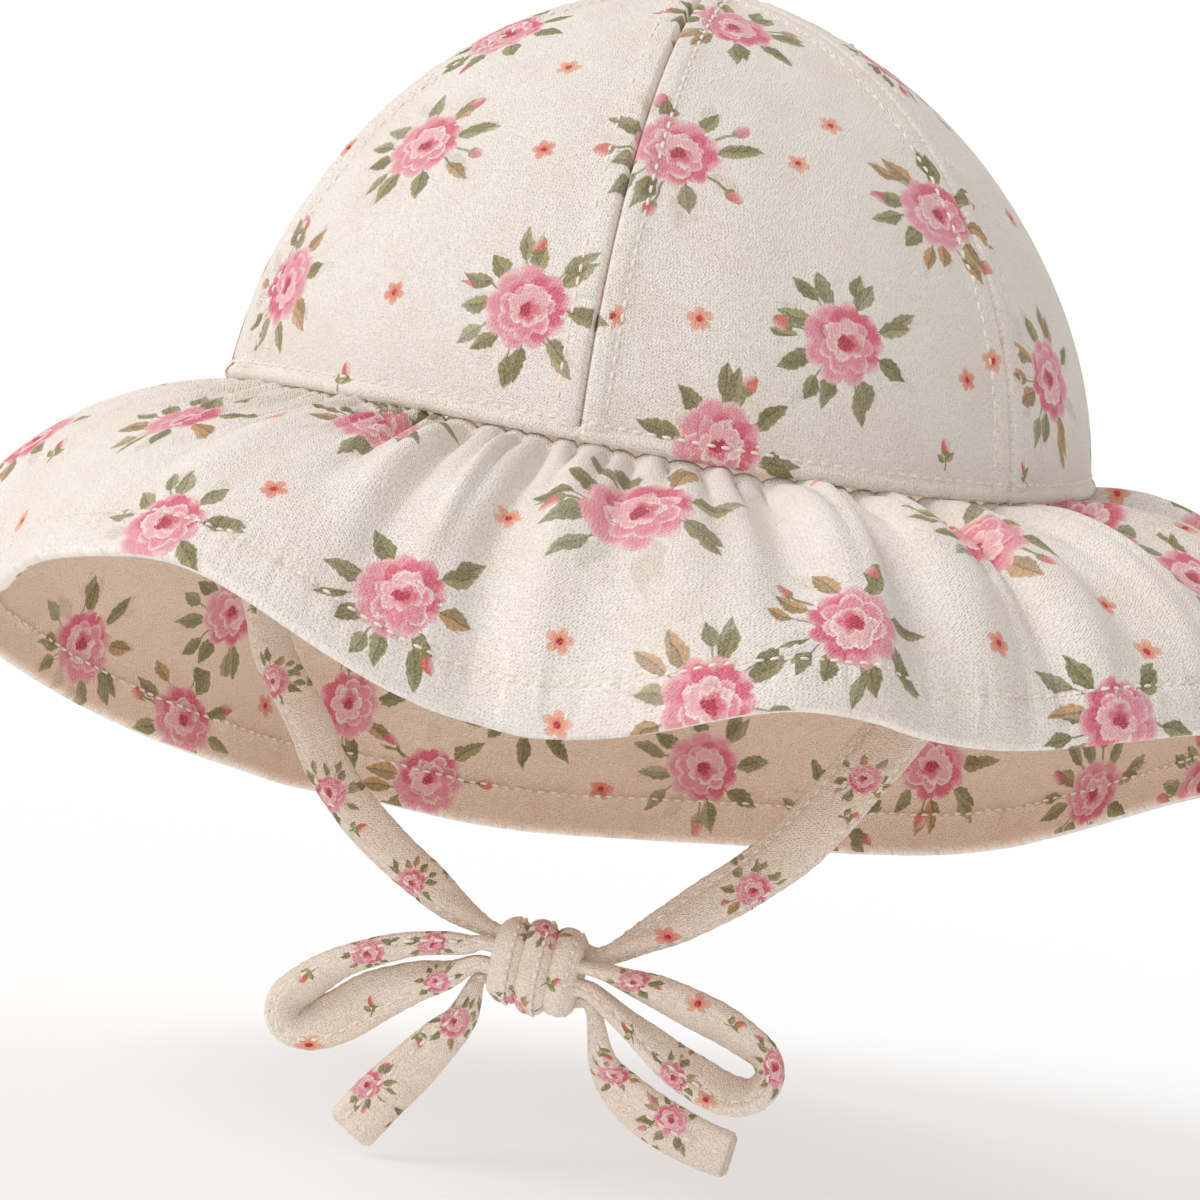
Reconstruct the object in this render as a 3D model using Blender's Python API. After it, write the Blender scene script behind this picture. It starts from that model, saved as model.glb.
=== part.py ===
"""Baby's sun hat in cotton: a six-panel crown, a gathered brim and two ties in a bow.

Metres, +Z up along the crown's axis, the wearer's face towards -Y. The origin is the
centre of the head opening, at the seam that joins the crown and the brim. Left and right
are as seen from the front. Azimuths run from the front seam towards the right.
"""

import math

import bmesh
import bpy
from mathutils import Matrix, Vector

# Clearance between neighbouring pieces
GAP = 0.0003

# Crown
SEAM_RADIUS = 0.0775
SEAM_WARP = 0.0022
CROWN_HEIGHT = 0.0786
CROWN_FULLNESS = 1.09
CROWN_WALL = 0.0014
PANEL_COUNT = 6
PANEL_SAG = 0.0012
PANEL_TIP_RADIUS = 0.0025
BUTTON_RADIUS = 0.0058
BUTTON_HEIGHT = 0.0042

# Piping in the seam between crown and brim
PIPING_RADIUS = 0.00115
PIPING_PROUD = 0.0009

# Brim
BRIM_WALL = 0.0016
BRIM_FRONT_WIDTH = 0.0620
BRIM_BACK_WIDTH = 0.1014
BRIM_CURL = 1.5
FOLD_SWING = math.radians(26)
GATHER_COUNT = 40
GATHER_DEPTH = 0.0010
GATHER_START = 0.004
GATHER_REACH = 0.020
GATHER_DRIFT = math.radians(2.2)

# Ties and bow
TIE_WIDTH = 0.0100
TIE_THICKNESS = 0.0032
TIE_TUCK = 0.0035
KNOT_CENTRE = (-0.0004, -0.0500, -0.0917)
KNOT_LENGTH = 0.0152
KNOT_HEIGHT = 0.0157
KNOT_DEPTH = 0.0130
KNOT_LEAN = math.radians(5)
KNOT_RIBS = 3
KNOT_RIB_DEPTH = 0.0009

# Mesh fineness
PANEL_COLUMNS = 8
PANEL_ROWS = 8
BRIM_COLUMNS = 80
BRIM_ROWS = 8
BRIM_STEPS = 24
PIPING_STEPS = 80
PIPING_SIDES = 8
STRAP_STEP = 0.0045

# Colours and roughness
CREAM = (0.86, 0.80, 0.72)
CREAM_DARK = (0.78, 0.70, 0.61)
CLOTH_ROUGHNESS = 0.9

# Each section of the brim curls down from the seam to the hem. Its width is the front
# width plus a share of what the back is wider, and the droops are angles below level.
# azimuth, share of the extra width, droop at the seam, droop at the hem
BRIM_SECTIONS = (
    (0, 0.03, 18, 84),
    (30, 0.00, 10, 84),
    (60, 0.01, 6, 85),
    (90, 0.22, 3, 101),
    (120, 0.48, 12, 116),
    (150, 0.89, 26, 122),
    (180, 1.00, 30, 123),
    (210, 0.98, 30, 123),
    (240, 0.71, 26, 115),
    (270, 0.38, 14, 100),
    (300, 0.10, 12, 82),
    (330, -0.09, 13, 71),
)

# Each fold lifts the hem, or lets it drop, over a stretch of the brim.
# azimuth, half width, share of the swing (a lift is positive)
BRIM_FOLDS = (
    (0, 14, -0.95),
    (21, 11, 0.80),
    (39, 9, -0.25),
    (60, 12, 0.55),
    (90, 10, -0.10),
    (110, 10, 0.14),
    (133, 12, -0.10),
    (158, 9, -0.18),
    (176, 9, 0.12),
    (197, 9, -0.14),
    (214, 9, 0.46),
    (234, 9, -0.22),
    (256, 10, 0.16),
    (276, 10, -0.10),
    (293, 9, 0.20),
    (305, 8, -0.45),
    (322, 11, 0.32),
    (338, 12, 0.84),
)

# Routes of the ties and the bow. Width and thickness are shares of the tie's. The turn
# is nought where the strap's width points from front to back, and 90 where it faces front.
# x, y, z, width share, thickness share, turn
TIE_LEFT = (
    (-0.0742, -0.0012, -0.0040, 0.98, 0.66, 0),
    (-0.0732, -0.0085, -0.0130, 0.90, 0.80, 8),
    (-0.0705, -0.0170, -0.0225, 0.82, 0.90, 24),
    (-0.0672, -0.0220, -0.0289, 0.76, 1.00, 38),
    (-0.0620, -0.0275, -0.0376, 0.74, 1.05, 50),
    (-0.0572, -0.0320, -0.0471, 0.74, 1.05, 58),
    (-0.0493, -0.0370, -0.0561, 0.76, 1.05, 62),
    (-0.0425, -0.0410, -0.0652, 0.78, 1.00, 64),
    (-0.0329, -0.0440, -0.0737, 0.78, 1.00, 66),
    (-0.0235, -0.0460, -0.0798, 0.74, 1.00, 60),
    (-0.0167, -0.0470, -0.0839, 0.62, 0.90, 36),
)
TIE_RIGHT = (
    (0.0742, -0.0012, -0.0040, 1.00, 0.66, 0),
    (0.0730, -0.0095, -0.0140, 1.00, 0.80, -12),
    (0.0685, -0.0185, -0.0262, 1.00, 0.90, -44),
    (0.0630, -0.0225, -0.0320, 1.04, 0.90, -62),
    (0.0571, -0.0260, -0.0385, 1.08, 0.90, -74),
    (0.0515, -0.0310, -0.0470, 1.08, 0.90, -80),
    (0.0458, -0.0360, -0.0566, 1.04, 0.90, -80),
    (0.0402, -0.0400, -0.0648, 1.00, 0.90, -78),
    (0.0334, -0.0432, -0.0718, 0.94, 0.95, -74),
    (0.0224, -0.0462, -0.0805, 0.84, 1.00, -56),
    (0.0156, -0.0472, -0.0852, 0.64, 0.90, -26),
)
LOOP_LEFT = (
    (-0.0122, -0.0526, -0.0893, 0.52, 0.80, 4),
    (-0.0179, -0.0526, -0.0899, 0.64, 0.95, 10),
    (-0.0240, -0.0525, -0.0914, 0.78, 1.00, 12),
    (-0.0323, -0.0520, -0.0947, 0.88, 1.00, 16),
    (-0.0384, -0.0510, -0.0990, 0.92, 1.00, 26),
    (-0.0425, -0.0500, -0.1033, 0.92, 0.95, 38),
    (-0.0422, -0.0492, -0.1072, 0.92, 0.95, 48),
    (-0.0383, -0.0488, -0.1078, 0.94, 0.95, 58),
    (-0.0338, -0.0488, -0.1054, 0.96, 0.95, 68),
    (-0.0280, -0.0490, -0.1012, 0.92, 0.95, 74),
    (-0.0217, -0.0500, -0.0977, 0.76, 0.95, 62),
    (-0.0155, -0.0515, -0.0952, 0.60, 0.85, 30),
)
LOOP_RIGHT = (
    (0.0127, -0.0526, -0.0907, 0.52, 0.80, -6),
    (0.0177, -0.0525, -0.0918, 0.66, 0.90, -30),
    (0.0221, -0.0520, -0.0929, 0.76, 0.95, -44),
    (0.0284, -0.0512, -0.0950, 0.84, 0.95, -50),
    (0.0348, -0.0506, -0.0976, 0.86, 0.95, -46),
    (0.0400, -0.0500, -0.1006, 0.86, 0.95, -34),
    (0.0414, -0.0498, -0.1044, 0.88, 0.95, -24),
    (0.0392, -0.0504, -0.1077, 0.90, 0.95, -22),
    (0.0349, -0.0510, -0.1082, 0.92, 1.00, -28),
    (0.0299, -0.0516, -0.1063, 0.90, 1.00, -36),
    (0.0252, -0.0521, -0.1040, 0.84, 0.95, -34),
    (0.0203, -0.0526, -0.1008, 0.72, 0.90, -24),
    (0.0152, -0.0527, -0.0976, 0.58, 0.80, -10),
)
TAIL_LEFT = (
    (-0.0128, -0.0474, -0.1024, 0.62, 0.85, 34),
    (-0.0160, -0.0476, -0.1068, 0.78, 1.00, 60),
    (-0.0198, -0.0479, -0.1118, 0.86, 1.05, 72),
    (-0.0243, -0.0480, -0.1173, 0.92, 1.05, 78),
    (-0.0302, -0.0480, -0.1251, 0.94, 1.00, 80),
)
TAIL_RIGHT = (
    (0.0122, -0.0474, -0.1062, 0.62, 0.85, -44),
    (0.0160, -0.0477, -0.1105, 0.80, 1.00, -66),
    (0.0205, -0.0480, -0.1135, 0.88, 1.05, -72),
    (0.0260, -0.0480, -0.1161, 0.90, 1.05, -72),
    (0.0312, -0.0480, -0.1178, 0.90, 1.00, -70),
    (0.0366, -0.0480, -0.1190, 0.90, 1.00, -70),
)

# Where the strands enter the knot, as shares of its half depth and half height
# depth share, height share
PORTS = {
    "tie": (0.42, 0.50),
    "loop_out": (-0.42, 0.28),
    "loop_back": (-0.42, -0.20),
    "tail": (0.42, -0.60),
}
PORT_WIDTH_SHARE = 0.44
PORT_THICKNESS_SHARE = 0.68
PORT_LEAD = 0.0022


def clear_scene():
    """Removes whatever the scene holds."""
    for obj in list(bpy.data.objects):
        bpy.data.objects.remove(obj, do_unlink=True)


def cloth(name, colour):
    """A plain cloth material."""
    material = bpy.data.materials.new(name)
    material.use_nodes = True
    shader = material.node_tree.nodes["Principled BSDF"]
    shader.inputs["Base Color"].default_value = (*colour, 1.0)
    shader.inputs["Roughness"].default_value = CLOTH_ROUGHNESS
    shader.inputs["Metallic"].default_value = 0.0
    return material


def add_object(name, mesh_data, colour=CREAM):
    """Makes an object of a bmesh, with its own material, shaded smooth."""
    bmesh.ops.recalc_face_normals(mesh_data, faces=mesh_data.faces)
    mesh = bpy.data.meshes.new(name)
    mesh_data.to_mesh(mesh)
    mesh_data.free()
    mesh.shade_smooth()
    mesh.materials.append(cloth(name, colour))
    obj = bpy.data.objects.new(name, mesh)
    bpy.context.scene.collection.objects.link(obj)
    return obj


def catmull_rom(before, start, end, after, share):
    """Each column of four rows, carried smoothly from start to end."""
    values = []
    for p0, p1, p2, p3 in zip(before, start, end, after):
        linear = p2 - p0
        square = 2 * p0 - 5 * p1 + 4 * p2 - p3
        cube = 3 * p1 - p0 - 3 * p2 + p3
        values.append(p1 + 0.5 * share * (linear + share * (square + share * cube)))
    return values


def ring_row(rows, azimuth):
    """A table's columns at an azimuth in degrees, where the table goes once round."""
    count = len(rows)
    step = 360 / count
    place = (azimuth % 360) / step
    index = int(place) % count
    around = [rows[(index + offset) % count][1:] for offset in (-1, 0, 1, 2)]
    return catmull_rom(*around, place - int(place))


def on_axis(radius, azimuth, height):
    """The point at a radius, an azimuth in radians and a height."""
    return Vector((radius * math.sin(azimuth), -radius * math.cos(azimuth), height))


def seam_height(azimuth):
    """How the seam between crown and brim rises and dips round the head."""
    return -SEAM_WARP * math.sin(2 * azimuth)


def crown_point(azimuth, climb):
    """A point of the crown's outer face. The climb goes from 0 at the seam to 1 on top."""
    angle = climb * math.pi / 2
    radius = SEAM_RADIUS * math.cos(angle) ** CROWN_FULLNESS
    height = CROWN_HEIGHT * math.sin(angle) ** CROWN_FULLNESS
    height += seam_height(azimuth) * (1 - climb)
    middle = (1 - math.cos(PANEL_COUNT * azimuth)) / 2
    radius -= PANEL_SAG * middle * math.sin(math.pi * climb) ** 2
    return on_axis(radius, azimuth, height)


def climb_at_height(height):
    """How far up the crown a height lies."""
    return math.asin((height / CROWN_HEIGHT) ** (1 / CROWN_FULLNESS)) * 2 / math.pi


def climb_at_radius(radius):
    """How far up the crown a radius lies."""
    return math.acos((radius / SEAM_RADIUS) ** (1 / CROWN_FULLNESS)) * 2 / math.pi


def fold_lift(azimuth):
    """What the folds take off the droop at the hem, at an azimuth in degrees."""
    lift = 0.0
    for centre, half_width, share in BRIM_FOLDS:
        away = (azimuth - centre + 180) % 360 - 180
        lift += share * math.exp(-((away / half_width) ** 2))
    return lift * FOLD_SWING


def gather_height(azimuth, distance):
    """How far the gathers raise the cloth, at a distance from the seam along the brim."""
    drift = GATHER_DRIFT * (math.sin(5 * azimuth) + math.sin(11 * azimuth + 1))
    wave = math.cos(GATHER_COUNT * (azimuth + drift))
    start = min(1.0, distance / GATHER_START)
    return GATHER_DEPTH * start * math.exp(-((distance / GATHER_REACH) ** 2)) * wave


def brim_point(azimuth, share):
    """A point of the brim's upper face. The share goes from 0 at the hem to 1 at the seam."""
    degrees = math.degrees(azimuth)
    extra, root_droop, hem_droop = ring_row(BRIM_SECTIONS, degrees)
    width = BRIM_FRONT_WIDTH + extra * (BRIM_BACK_WIDTH - BRIM_FRONT_WIDTH)
    root = math.radians(root_droop)
    bend = math.radians(hem_droop) - fold_lift(degrees) - root
    along = 1 - share
    out = 0.0
    down = 0.0
    for step in range(BRIM_STEPS):
        droop = root + bend * (along * (step + 0.5) / BRIM_STEPS) ** BRIM_CURL
        out += math.cos(droop) * width * along / BRIM_STEPS
        down += math.sin(droop) * width * along / BRIM_STEPS
    droop = root + bend * along ** BRIM_CURL
    raised = gather_height(azimuth, width * along)
    radius = SEAM_RADIUS + out + raised * math.sin(droop)
    height = seam_height(azimuth) - (PIPING_RADIUS + GAP) - down + raised * math.cos(droop)
    return on_axis(radius, azimuth, height)


def shell(name, surface, columns, rows, wall):
    """A closed wall under a surface of two shares, the first round the hat, the second up."""
    mesh_data = bmesh.new()
    nudge = 1e-4
    outer = []
    inner = []
    for column in range(columns + 1):
        for row in range(rows + 1):
            across = column / columns
            up = row / rows
            point = surface(across, up)
            side = surface(across + nudge, up) - surface(across - nudge, up)
            low = max(up - nudge, 0.0)
            high = min(up + nudge, 1.0)
            rise = surface(across, high) - surface(across, low)
            normal = side.cross(rise).normalized()
            outer.append(mesh_data.verts.new(point))
            inner.append(mesh_data.verts.new(point - wall * normal))

    def at(grid, column, row):
        return grid[column * (rows + 1) + row]

    def quad(*corners):
        mesh_data.faces.new(corners)

    for column in range(columns):
        for row in range(rows):
            cell = ((column, row), (column + 1, row), (column + 1, row + 1), (column, row + 1))
            quad(*(at(outer, *corner) for corner in cell))
            quad(*(at(inner, *corner) for corner in reversed(cell)))
        for row in (0, rows):
            quad(at(outer, column, row), at(inner, column, row),
                 at(inner, column + 1, row), at(outer, column + 1, row))
    for row in range(rows):
        for column in (0, columns):
            quad(at(outer, column, row), at(outer, column, row + 1),
                 at(inner, column, row + 1), at(inner, column, row))
    return add_object(name, mesh_data)


def loft(name, sections, colour=CREAM):
    """A closed solid through rings of points, with flat ends."""
    mesh_data = bmesh.new()
    rings = [[mesh_data.verts.new(point) for point in section] for section in sections]
    count = len(rings[0])
    for ring, after in zip(rings, rings[1:]):
        for side in range(count):
            beside = (side + 1) % count
            mesh_data.faces.new((ring[side], ring[beside], after[beside], after[side]))
    mesh_data.faces.new(reversed(rings[0]))
    mesh_data.faces.new(rings[-1])
    return add_object(name, mesh_data, colour)


def make_crown():
    """Six gores with a gap along each seam, and the covered button on top."""
    low = climb_at_height(PIPING_RADIUS + GAP)
    high = climb_at_radius(PANEL_TIP_RADIUS)
    panel_angle = 2 * math.pi / PANEL_COUNT
    for panel in range(PANEL_COUNT):

        def surface(across, up, first=panel * panel_angle):
            climb = low + (high - low) * up
            radius = crown_point(first, climb).xy.length
            inset = GAP / 2 / radius
            azimuth = first + inset + (panel_angle - 2 * inset) * across
            return crown_point(azimuth, climb)

        shell(f"crown_panel_{panel + 1}", surface, PANEL_COLUMNS, PANEL_ROWS, CROWN_WALL)
    base = CROWN_HEIGHT + GAP
    sections = []
    button_rows = 5
    for row in range(button_rows):
        angle = row / button_rows * math.pi / 2
        ring_radius = BUTTON_RADIUS * math.cos(angle)
        height = base + BUTTON_HEIGHT * math.sin(angle)
        turns = [2 * math.pi * step / 16 for step in range(16)]
        sections.append([on_axis(ring_radius, turn, height) for turn in turns])
    loft("crown_button", sections)


def make_piping():
    """The rolled piping, a ring that stands a little proud of the crown."""
    mesh_data = bmesh.new()
    middle = SEAM_RADIUS + PIPING_PROUD - PIPING_RADIUS
    rings = []
    for step in range(PIPING_STEPS):
        azimuth = 2 * math.pi * step / PIPING_STEPS
        ring = []
        for side in range(PIPING_SIDES):
            angle = 2 * math.pi * side / PIPING_SIDES
            radius = middle + PIPING_RADIUS * math.cos(angle)
            height = seam_height(azimuth) + PIPING_RADIUS * math.sin(angle)
            ring.append(mesh_data.verts.new(on_axis(radius, azimuth, height)))
        rings.append(ring)
    for step, ring in enumerate(rings):
        after = rings[(step + 1) % PIPING_STEPS]
        for side in range(PIPING_SIDES):
            beside = (side + 1) % PIPING_SIDES
            mesh_data.faces.new((ring[side], ring[beside], after[beside], after[side]))
    add_object("seam_piping", mesh_data)


def make_brim():
    """The front and back halves of the brim, which meet at the ears."""
    inset = GAP / 2 / SEAM_RADIUS
    half_turn = math.pi - 2 * inset
    for name, first in (("brim_front", -math.pi / 2), ("brim_back", math.pi / 2)):

        def surface(across, up, first=first):
            return brim_point(first + inset + half_turn * across, up)

        shell(name, surface, BRIM_COLUMNS, BRIM_ROWS, BRIM_WALL)


def strap_section(centre, along, width, thickness, turn):
    """Eight points round the strap, square to its run."""
    depth = Vector((0, 1, 0))
    wide = (depth - along * depth.dot(along)).normalized()
    wide = Matrix.Rotation(turn, 3, along) @ wide
    thick = along.cross(wide)
    half = width / 2
    edge = thickness / 4
    flat = half - thickness / 3
    outline = ((half, -edge), (half, edge), (flat, 2 * edge), (-flat, 2 * edge),
               (-half, edge), (-half, -edge), (-flat, -2 * edge), (flat, -2 * edge))
    return [centre + wide * x + thick * y for x, y in outline]


def strand(name, route):
    """A strap along a smooth curve through its route's rows."""
    padded = [route[0], *route, route[-1]]
    rows = []
    for before, start, end, after in zip(padded, padded[1:], padded[2:], [*padded[3:], padded[-1]]):
        if start is end:
            break
        steps = max(1, round((Vector(end[:3]) - Vector(start[:3])).length / STRAP_STEP))
        for step in range(steps):
            rows.append(catmull_rom(before, start, end, after, step / steps))
    rows.append(list(route[-1]))
    sections = []
    for index, row in enumerate(rows):
        ahead = Vector(rows[min(index + 1, len(rows) - 1)][:3])
        behind = Vector(rows[max(index - 1, 0)][:3])
        along = (ahead - behind).normalized()
        width = row[3] * TIE_WIDTH
        thickness = row[4] * TIE_THICKNESS
        sections.append(strap_section(Vector(row[:3]), along, width, thickness, math.radians(row[5])))
    loft(name, sections)


def tie_top(side):
    """The sewn end of a tie, inside the crown wall at the ear."""
    thickness_share = 0.62
    wall = math.sqrt((SEAM_RADIUS - CROWN_WALL) ** 2 - (TIE_WIDTH / 2) ** 2)
    x = wall - 2 * GAP - thickness_share * TIE_THICKNESS / 2
    return (side * x, 0.0, TIE_TUCK, 1.0, thickness_share, 0)


def knot_port(side, port):
    """Two rows of a route, straight out of the knot's left (-1) or right (1) end."""
    depth_share, height_share = PORTS[port]
    lean = Matrix.Rotation(KNOT_LEAN, 3, "Y")
    rows = []
    for lead in (0.0, PORT_LEAD):
        x = side * (KNOT_LENGTH / 2 + GAP + lead)
        local = Vector((x, depth_share * KNOT_DEPTH / 2, height_share * KNOT_HEIGHT / 2))
        place = Vector(KNOT_CENTRE) + lean @ local
        rows.append((*place, PORT_WIDTH_SHARE, PORT_THICKNESS_SHARE, 0))
    return rows


def make_knot():
    """The wrapped knot, a barrel from left to right with ribs round it."""
    steps_per_rib = 4
    stations = KNOT_RIBS * steps_per_rib
    sides = 14
    sections = []
    for station in range(stations + 1):
        place = station / stations
        rib = abs(math.sin(math.pi * KNOT_RIBS * place)) ** 0.5
        barrel = 1 - 0.10 * (2 * place - 1) ** 4
        ring = []
        for side in range(sides):
            angle = 2 * math.pi * side / sides
            high = KNOT_HEIGHT / 2 * barrel - KNOT_RIB_DEPTH * (1 - rib)
            deep = KNOT_DEPTH / 2 * barrel - KNOT_RIB_DEPTH * (1 - rib)
            ring.append(Vector(((place - 0.5) * KNOT_LENGTH, deep * math.cos(angle), high * math.sin(angle))))
        sections.append(ring)
    knot = loft("bow_knot", sections)
    knot.location = KNOT_CENTRE
    knot.rotation_euler = (0.0, KNOT_LEAN, 0.0)


def make_ties():
    """The ties from the ears to the knot, the bow's loops and its free ends."""
    for name, side, tie, loop, tail in (
        ("left", -1, TIE_LEFT, LOOP_LEFT, TAIL_LEFT),
        ("right", 1, TIE_RIGHT, LOOP_RIGHT, TAIL_RIGHT),
    ):
        strand(f"tie_{name}", [tie_top(side), *tie, *reversed(knot_port(side, "tie"))])
        out = knot_port(side, "loop_out")
        back = knot_port(side, "loop_back")
        strand(f"bow_loop_{name}", [*out, *loop, *reversed(back)])
        strand(f"bow_tail_{name}", [*knot_port(side, "tail"), *tail])


clear_scene()
make_crown()
make_piping()
make_brim()
make_ties()
make_knot()
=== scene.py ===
"""A baby's sun hat in printed cotton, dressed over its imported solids.

Metres, +Z up, the wearer's face towards -Y. Left and right are as seen from the front.
Azimuths run from the front seam towards the right.
"""

import math

import bmesh
import bpy
import numpy as np
from mathutils import Matrix, Vector


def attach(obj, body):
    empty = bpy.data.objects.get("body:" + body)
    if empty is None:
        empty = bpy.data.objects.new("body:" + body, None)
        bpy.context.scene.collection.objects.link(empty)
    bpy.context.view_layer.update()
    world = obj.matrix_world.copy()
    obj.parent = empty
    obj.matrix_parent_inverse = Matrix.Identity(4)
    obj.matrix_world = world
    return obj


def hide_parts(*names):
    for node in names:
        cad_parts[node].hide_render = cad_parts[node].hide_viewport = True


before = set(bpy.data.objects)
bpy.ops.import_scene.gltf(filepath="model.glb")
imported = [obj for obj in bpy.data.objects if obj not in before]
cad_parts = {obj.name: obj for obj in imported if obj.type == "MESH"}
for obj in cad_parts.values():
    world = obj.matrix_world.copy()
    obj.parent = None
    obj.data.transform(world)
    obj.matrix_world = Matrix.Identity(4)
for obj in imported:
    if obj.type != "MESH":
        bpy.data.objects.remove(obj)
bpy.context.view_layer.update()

MM = 0.001

# The solids' own sizes
GAP = 0.0003
SEAM_RADIUS = 0.0775
SEAM_WARP = 0.0022
CROWN_HEIGHT = 0.0786
CROWN_FULLNESS = 1.09
CROWN_WALL = 0.0014
PANEL_COUNT = 6
PANEL_SPACING = 2 * math.pi / PANEL_COUNT
PANEL_SAG = 0.0012
BUTTON_RADIUS = 0.0058
BUTTON_HEIGHT = 0.0042
PIPING_RADIUS = 0.00115
PIPING_PROUD = 0.0009
BRIM_WALL = 0.0016
BRIM_FRONT_WIDTH = 0.0620
BRIM_BACK_WIDTH = 0.1014
BRIM_CURL = 1.5
FOLD_SWING = math.radians(26)
TIE_WIDTH = 0.0100
TIE_THICKNESS = 0.0032
TIE_TUCK = 0.0035
KNOT_CENTRE = (-0.0004, -0.0500, -0.0917)
KNOT_LENGTH = 0.0152
KNOT_HEIGHT = 0.0157
KNOT_DEPTH = 0.0130
KNOT_LEAN = math.radians(5)

# azimuth, share of the extra width, droop at the seam, droop at the hem
BRIM_SECTIONS = (
    (0, 0.03, 18, 84),
    (30, 0.00, 10, 84),
    (60, 0.01, 6, 85),
    (90, 0.22, 3, 101),
    (120, 0.48, 12, 116),
    (150, 0.89, 26, 122),
    (180, 1.00, 30, 123),
    (210, 0.98, 30, 123),
    (240, 0.71, 26, 115),
    (270, 0.38, 14, 100),
    (300, 0.10, 12, 82),
    (330, -0.09, 13, 71),
)

# azimuth, half width, share of the swing (a lift is positive)
BRIM_FOLDS = (
    (0, 14, -0.95),
    (21, 11, 0.80),
    (39, 9, -0.25),
    (60, 12, 0.55),
    (90, 10, -0.10),
    (110, 10, 0.14),
    (133, 12, -0.10),
    (158, 9, -0.18),
    (176, 9, 0.12),
    (197, 9, -0.14),
    (214, 9, 0.46),
    (234, 9, -0.22),
    (256, 10, 0.16),
    (276, 10, -0.10),
    (293, 9, 0.20),
    (305, 8, -0.45),
    (322, 11, 0.32),
    (338, 12, 0.84),
)

# The straps' routes: x, y, z, width share, thickness share, turn
TIE_LEFT = (
    (-0.0742, -0.0012, -0.0040, 0.98, 0.66, 0),
    (-0.0732, -0.0085, -0.0130, 0.90, 0.80, 8),
    (-0.0705, -0.0170, -0.0225, 0.82, 0.90, 24),
    (-0.0672, -0.0220, -0.0289, 0.76, 1.00, 38),
    (-0.0620, -0.0275, -0.0376, 0.74, 1.05, 50),
    (-0.0572, -0.0320, -0.0471, 0.74, 1.05, 58),
    (-0.0493, -0.0370, -0.0561, 0.76, 1.05, 62),
    (-0.0425, -0.0410, -0.0652, 0.78, 1.00, 64),
    (-0.0329, -0.0440, -0.0737, 0.78, 1.00, 66),
    (-0.0235, -0.0460, -0.0798, 0.74, 1.00, 60),
    (-0.0167, -0.0470, -0.0839, 0.62, 0.90, 36),
)
TIE_RIGHT = (
    (0.0742, -0.0012, -0.0040, 1.00, 0.66, 0),
    (0.0730, -0.0095, -0.0140, 1.00, 0.80, -12),
    (0.0685, -0.0185, -0.0262, 1.00, 0.90, -44),
    (0.0630, -0.0225, -0.0320, 1.04, 0.90, -62),
    (0.0571, -0.0260, -0.0385, 1.08, 0.90, -74),
    (0.0515, -0.0310, -0.0470, 1.08, 0.90, -80),
    (0.0458, -0.0360, -0.0566, 1.04, 0.90, -80),
    (0.0402, -0.0400, -0.0648, 1.00, 0.90, -78),
    (0.0334, -0.0432, -0.0718, 0.94, 0.95, -74),
    (0.0224, -0.0462, -0.0805, 0.84, 1.00, -56),
    (0.0156, -0.0472, -0.0852, 0.64, 0.90, -26),
)
LOOP_LEFT = (
    (-0.0122, -0.0526, -0.0893, 0.52, 0.80, 4),
    (-0.0179, -0.0526, -0.0899, 0.64, 0.95, 10),
    (-0.0240, -0.0525, -0.0914, 0.78, 1.00, 12),
    (-0.0323, -0.0520, -0.0947, 0.88, 1.00, 16),
    (-0.0384, -0.0510, -0.0990, 0.92, 1.00, 26),
    (-0.0425, -0.0500, -0.1033, 0.92, 0.95, 38),
    (-0.0422, -0.0492, -0.1072, 0.92, 0.95, 48),
    (-0.0383, -0.0488, -0.1078, 0.94, 0.95, 58),
    (-0.0338, -0.0488, -0.1054, 0.96, 0.95, 68),
    (-0.0280, -0.0490, -0.1012, 0.92, 0.95, 74),
    (-0.0217, -0.0500, -0.0977, 0.76, 0.95, 62),
    (-0.0155, -0.0515, -0.0952, 0.60, 0.85, 30),
)
LOOP_RIGHT = (
    (0.0127, -0.0526, -0.0907, 0.52, 0.80, -6),
    (0.0177, -0.0525, -0.0918, 0.66, 0.90, -30),
    (0.0221, -0.0520, -0.0929, 0.76, 0.95, -44),
    (0.0284, -0.0512, -0.0950, 0.84, 0.95, -50),
    (0.0348, -0.0506, -0.0976, 0.86, 0.95, -46),
    (0.0400, -0.0500, -0.1006, 0.86, 0.95, -34),
    (0.0414, -0.0498, -0.1044, 0.88, 0.95, -24),
    (0.0392, -0.0504, -0.1077, 0.90, 0.95, -22),
    (0.0349, -0.0510, -0.1082, 0.92, 1.00, -28),
    (0.0299, -0.0516, -0.1063, 0.90, 1.00, -36),
    (0.0252, -0.0521, -0.1040, 0.84, 0.95, -34),
    (0.0203, -0.0526, -0.1008, 0.72, 0.90, -24),
    (0.0152, -0.0527, -0.0976, 0.58, 0.80, -10),
)
TAIL_LEFT = (
    (-0.0128, -0.0474, -0.1024, 0.62, 0.85, 34),
    (-0.0160, -0.0476, -0.1068, 0.78, 1.00, 60),
    (-0.0198, -0.0479, -0.1118, 0.86, 1.05, 72),
    (-0.0243, -0.0480, -0.1173, 0.92, 1.05, 78),
    (-0.0302, -0.0480, -0.1251, 0.94, 1.00, 80),
)
TAIL_RIGHT = (
    (0.0122, -0.0474, -0.1062, 0.62, 0.85, -44),
    (0.0160, -0.0477, -0.1105, 0.80, 1.00, -66),
    (0.0205, -0.0480, -0.1135, 0.88, 1.05, -72),
    (0.0260, -0.0480, -0.1161, 0.90, 1.05, -72),
    (0.0312, -0.0480, -0.1178, 0.90, 1.00, -70),
    (0.0366, -0.0480, -0.1190, 0.90, 1.00, -70),
)
PORTS = {
    "tie": (0.42, 0.50),
    "loop_out": (-0.42, 0.28),
    "loop_back": (-0.42, -0.20),
    "tail": (0.42, -0.60),
}
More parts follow.
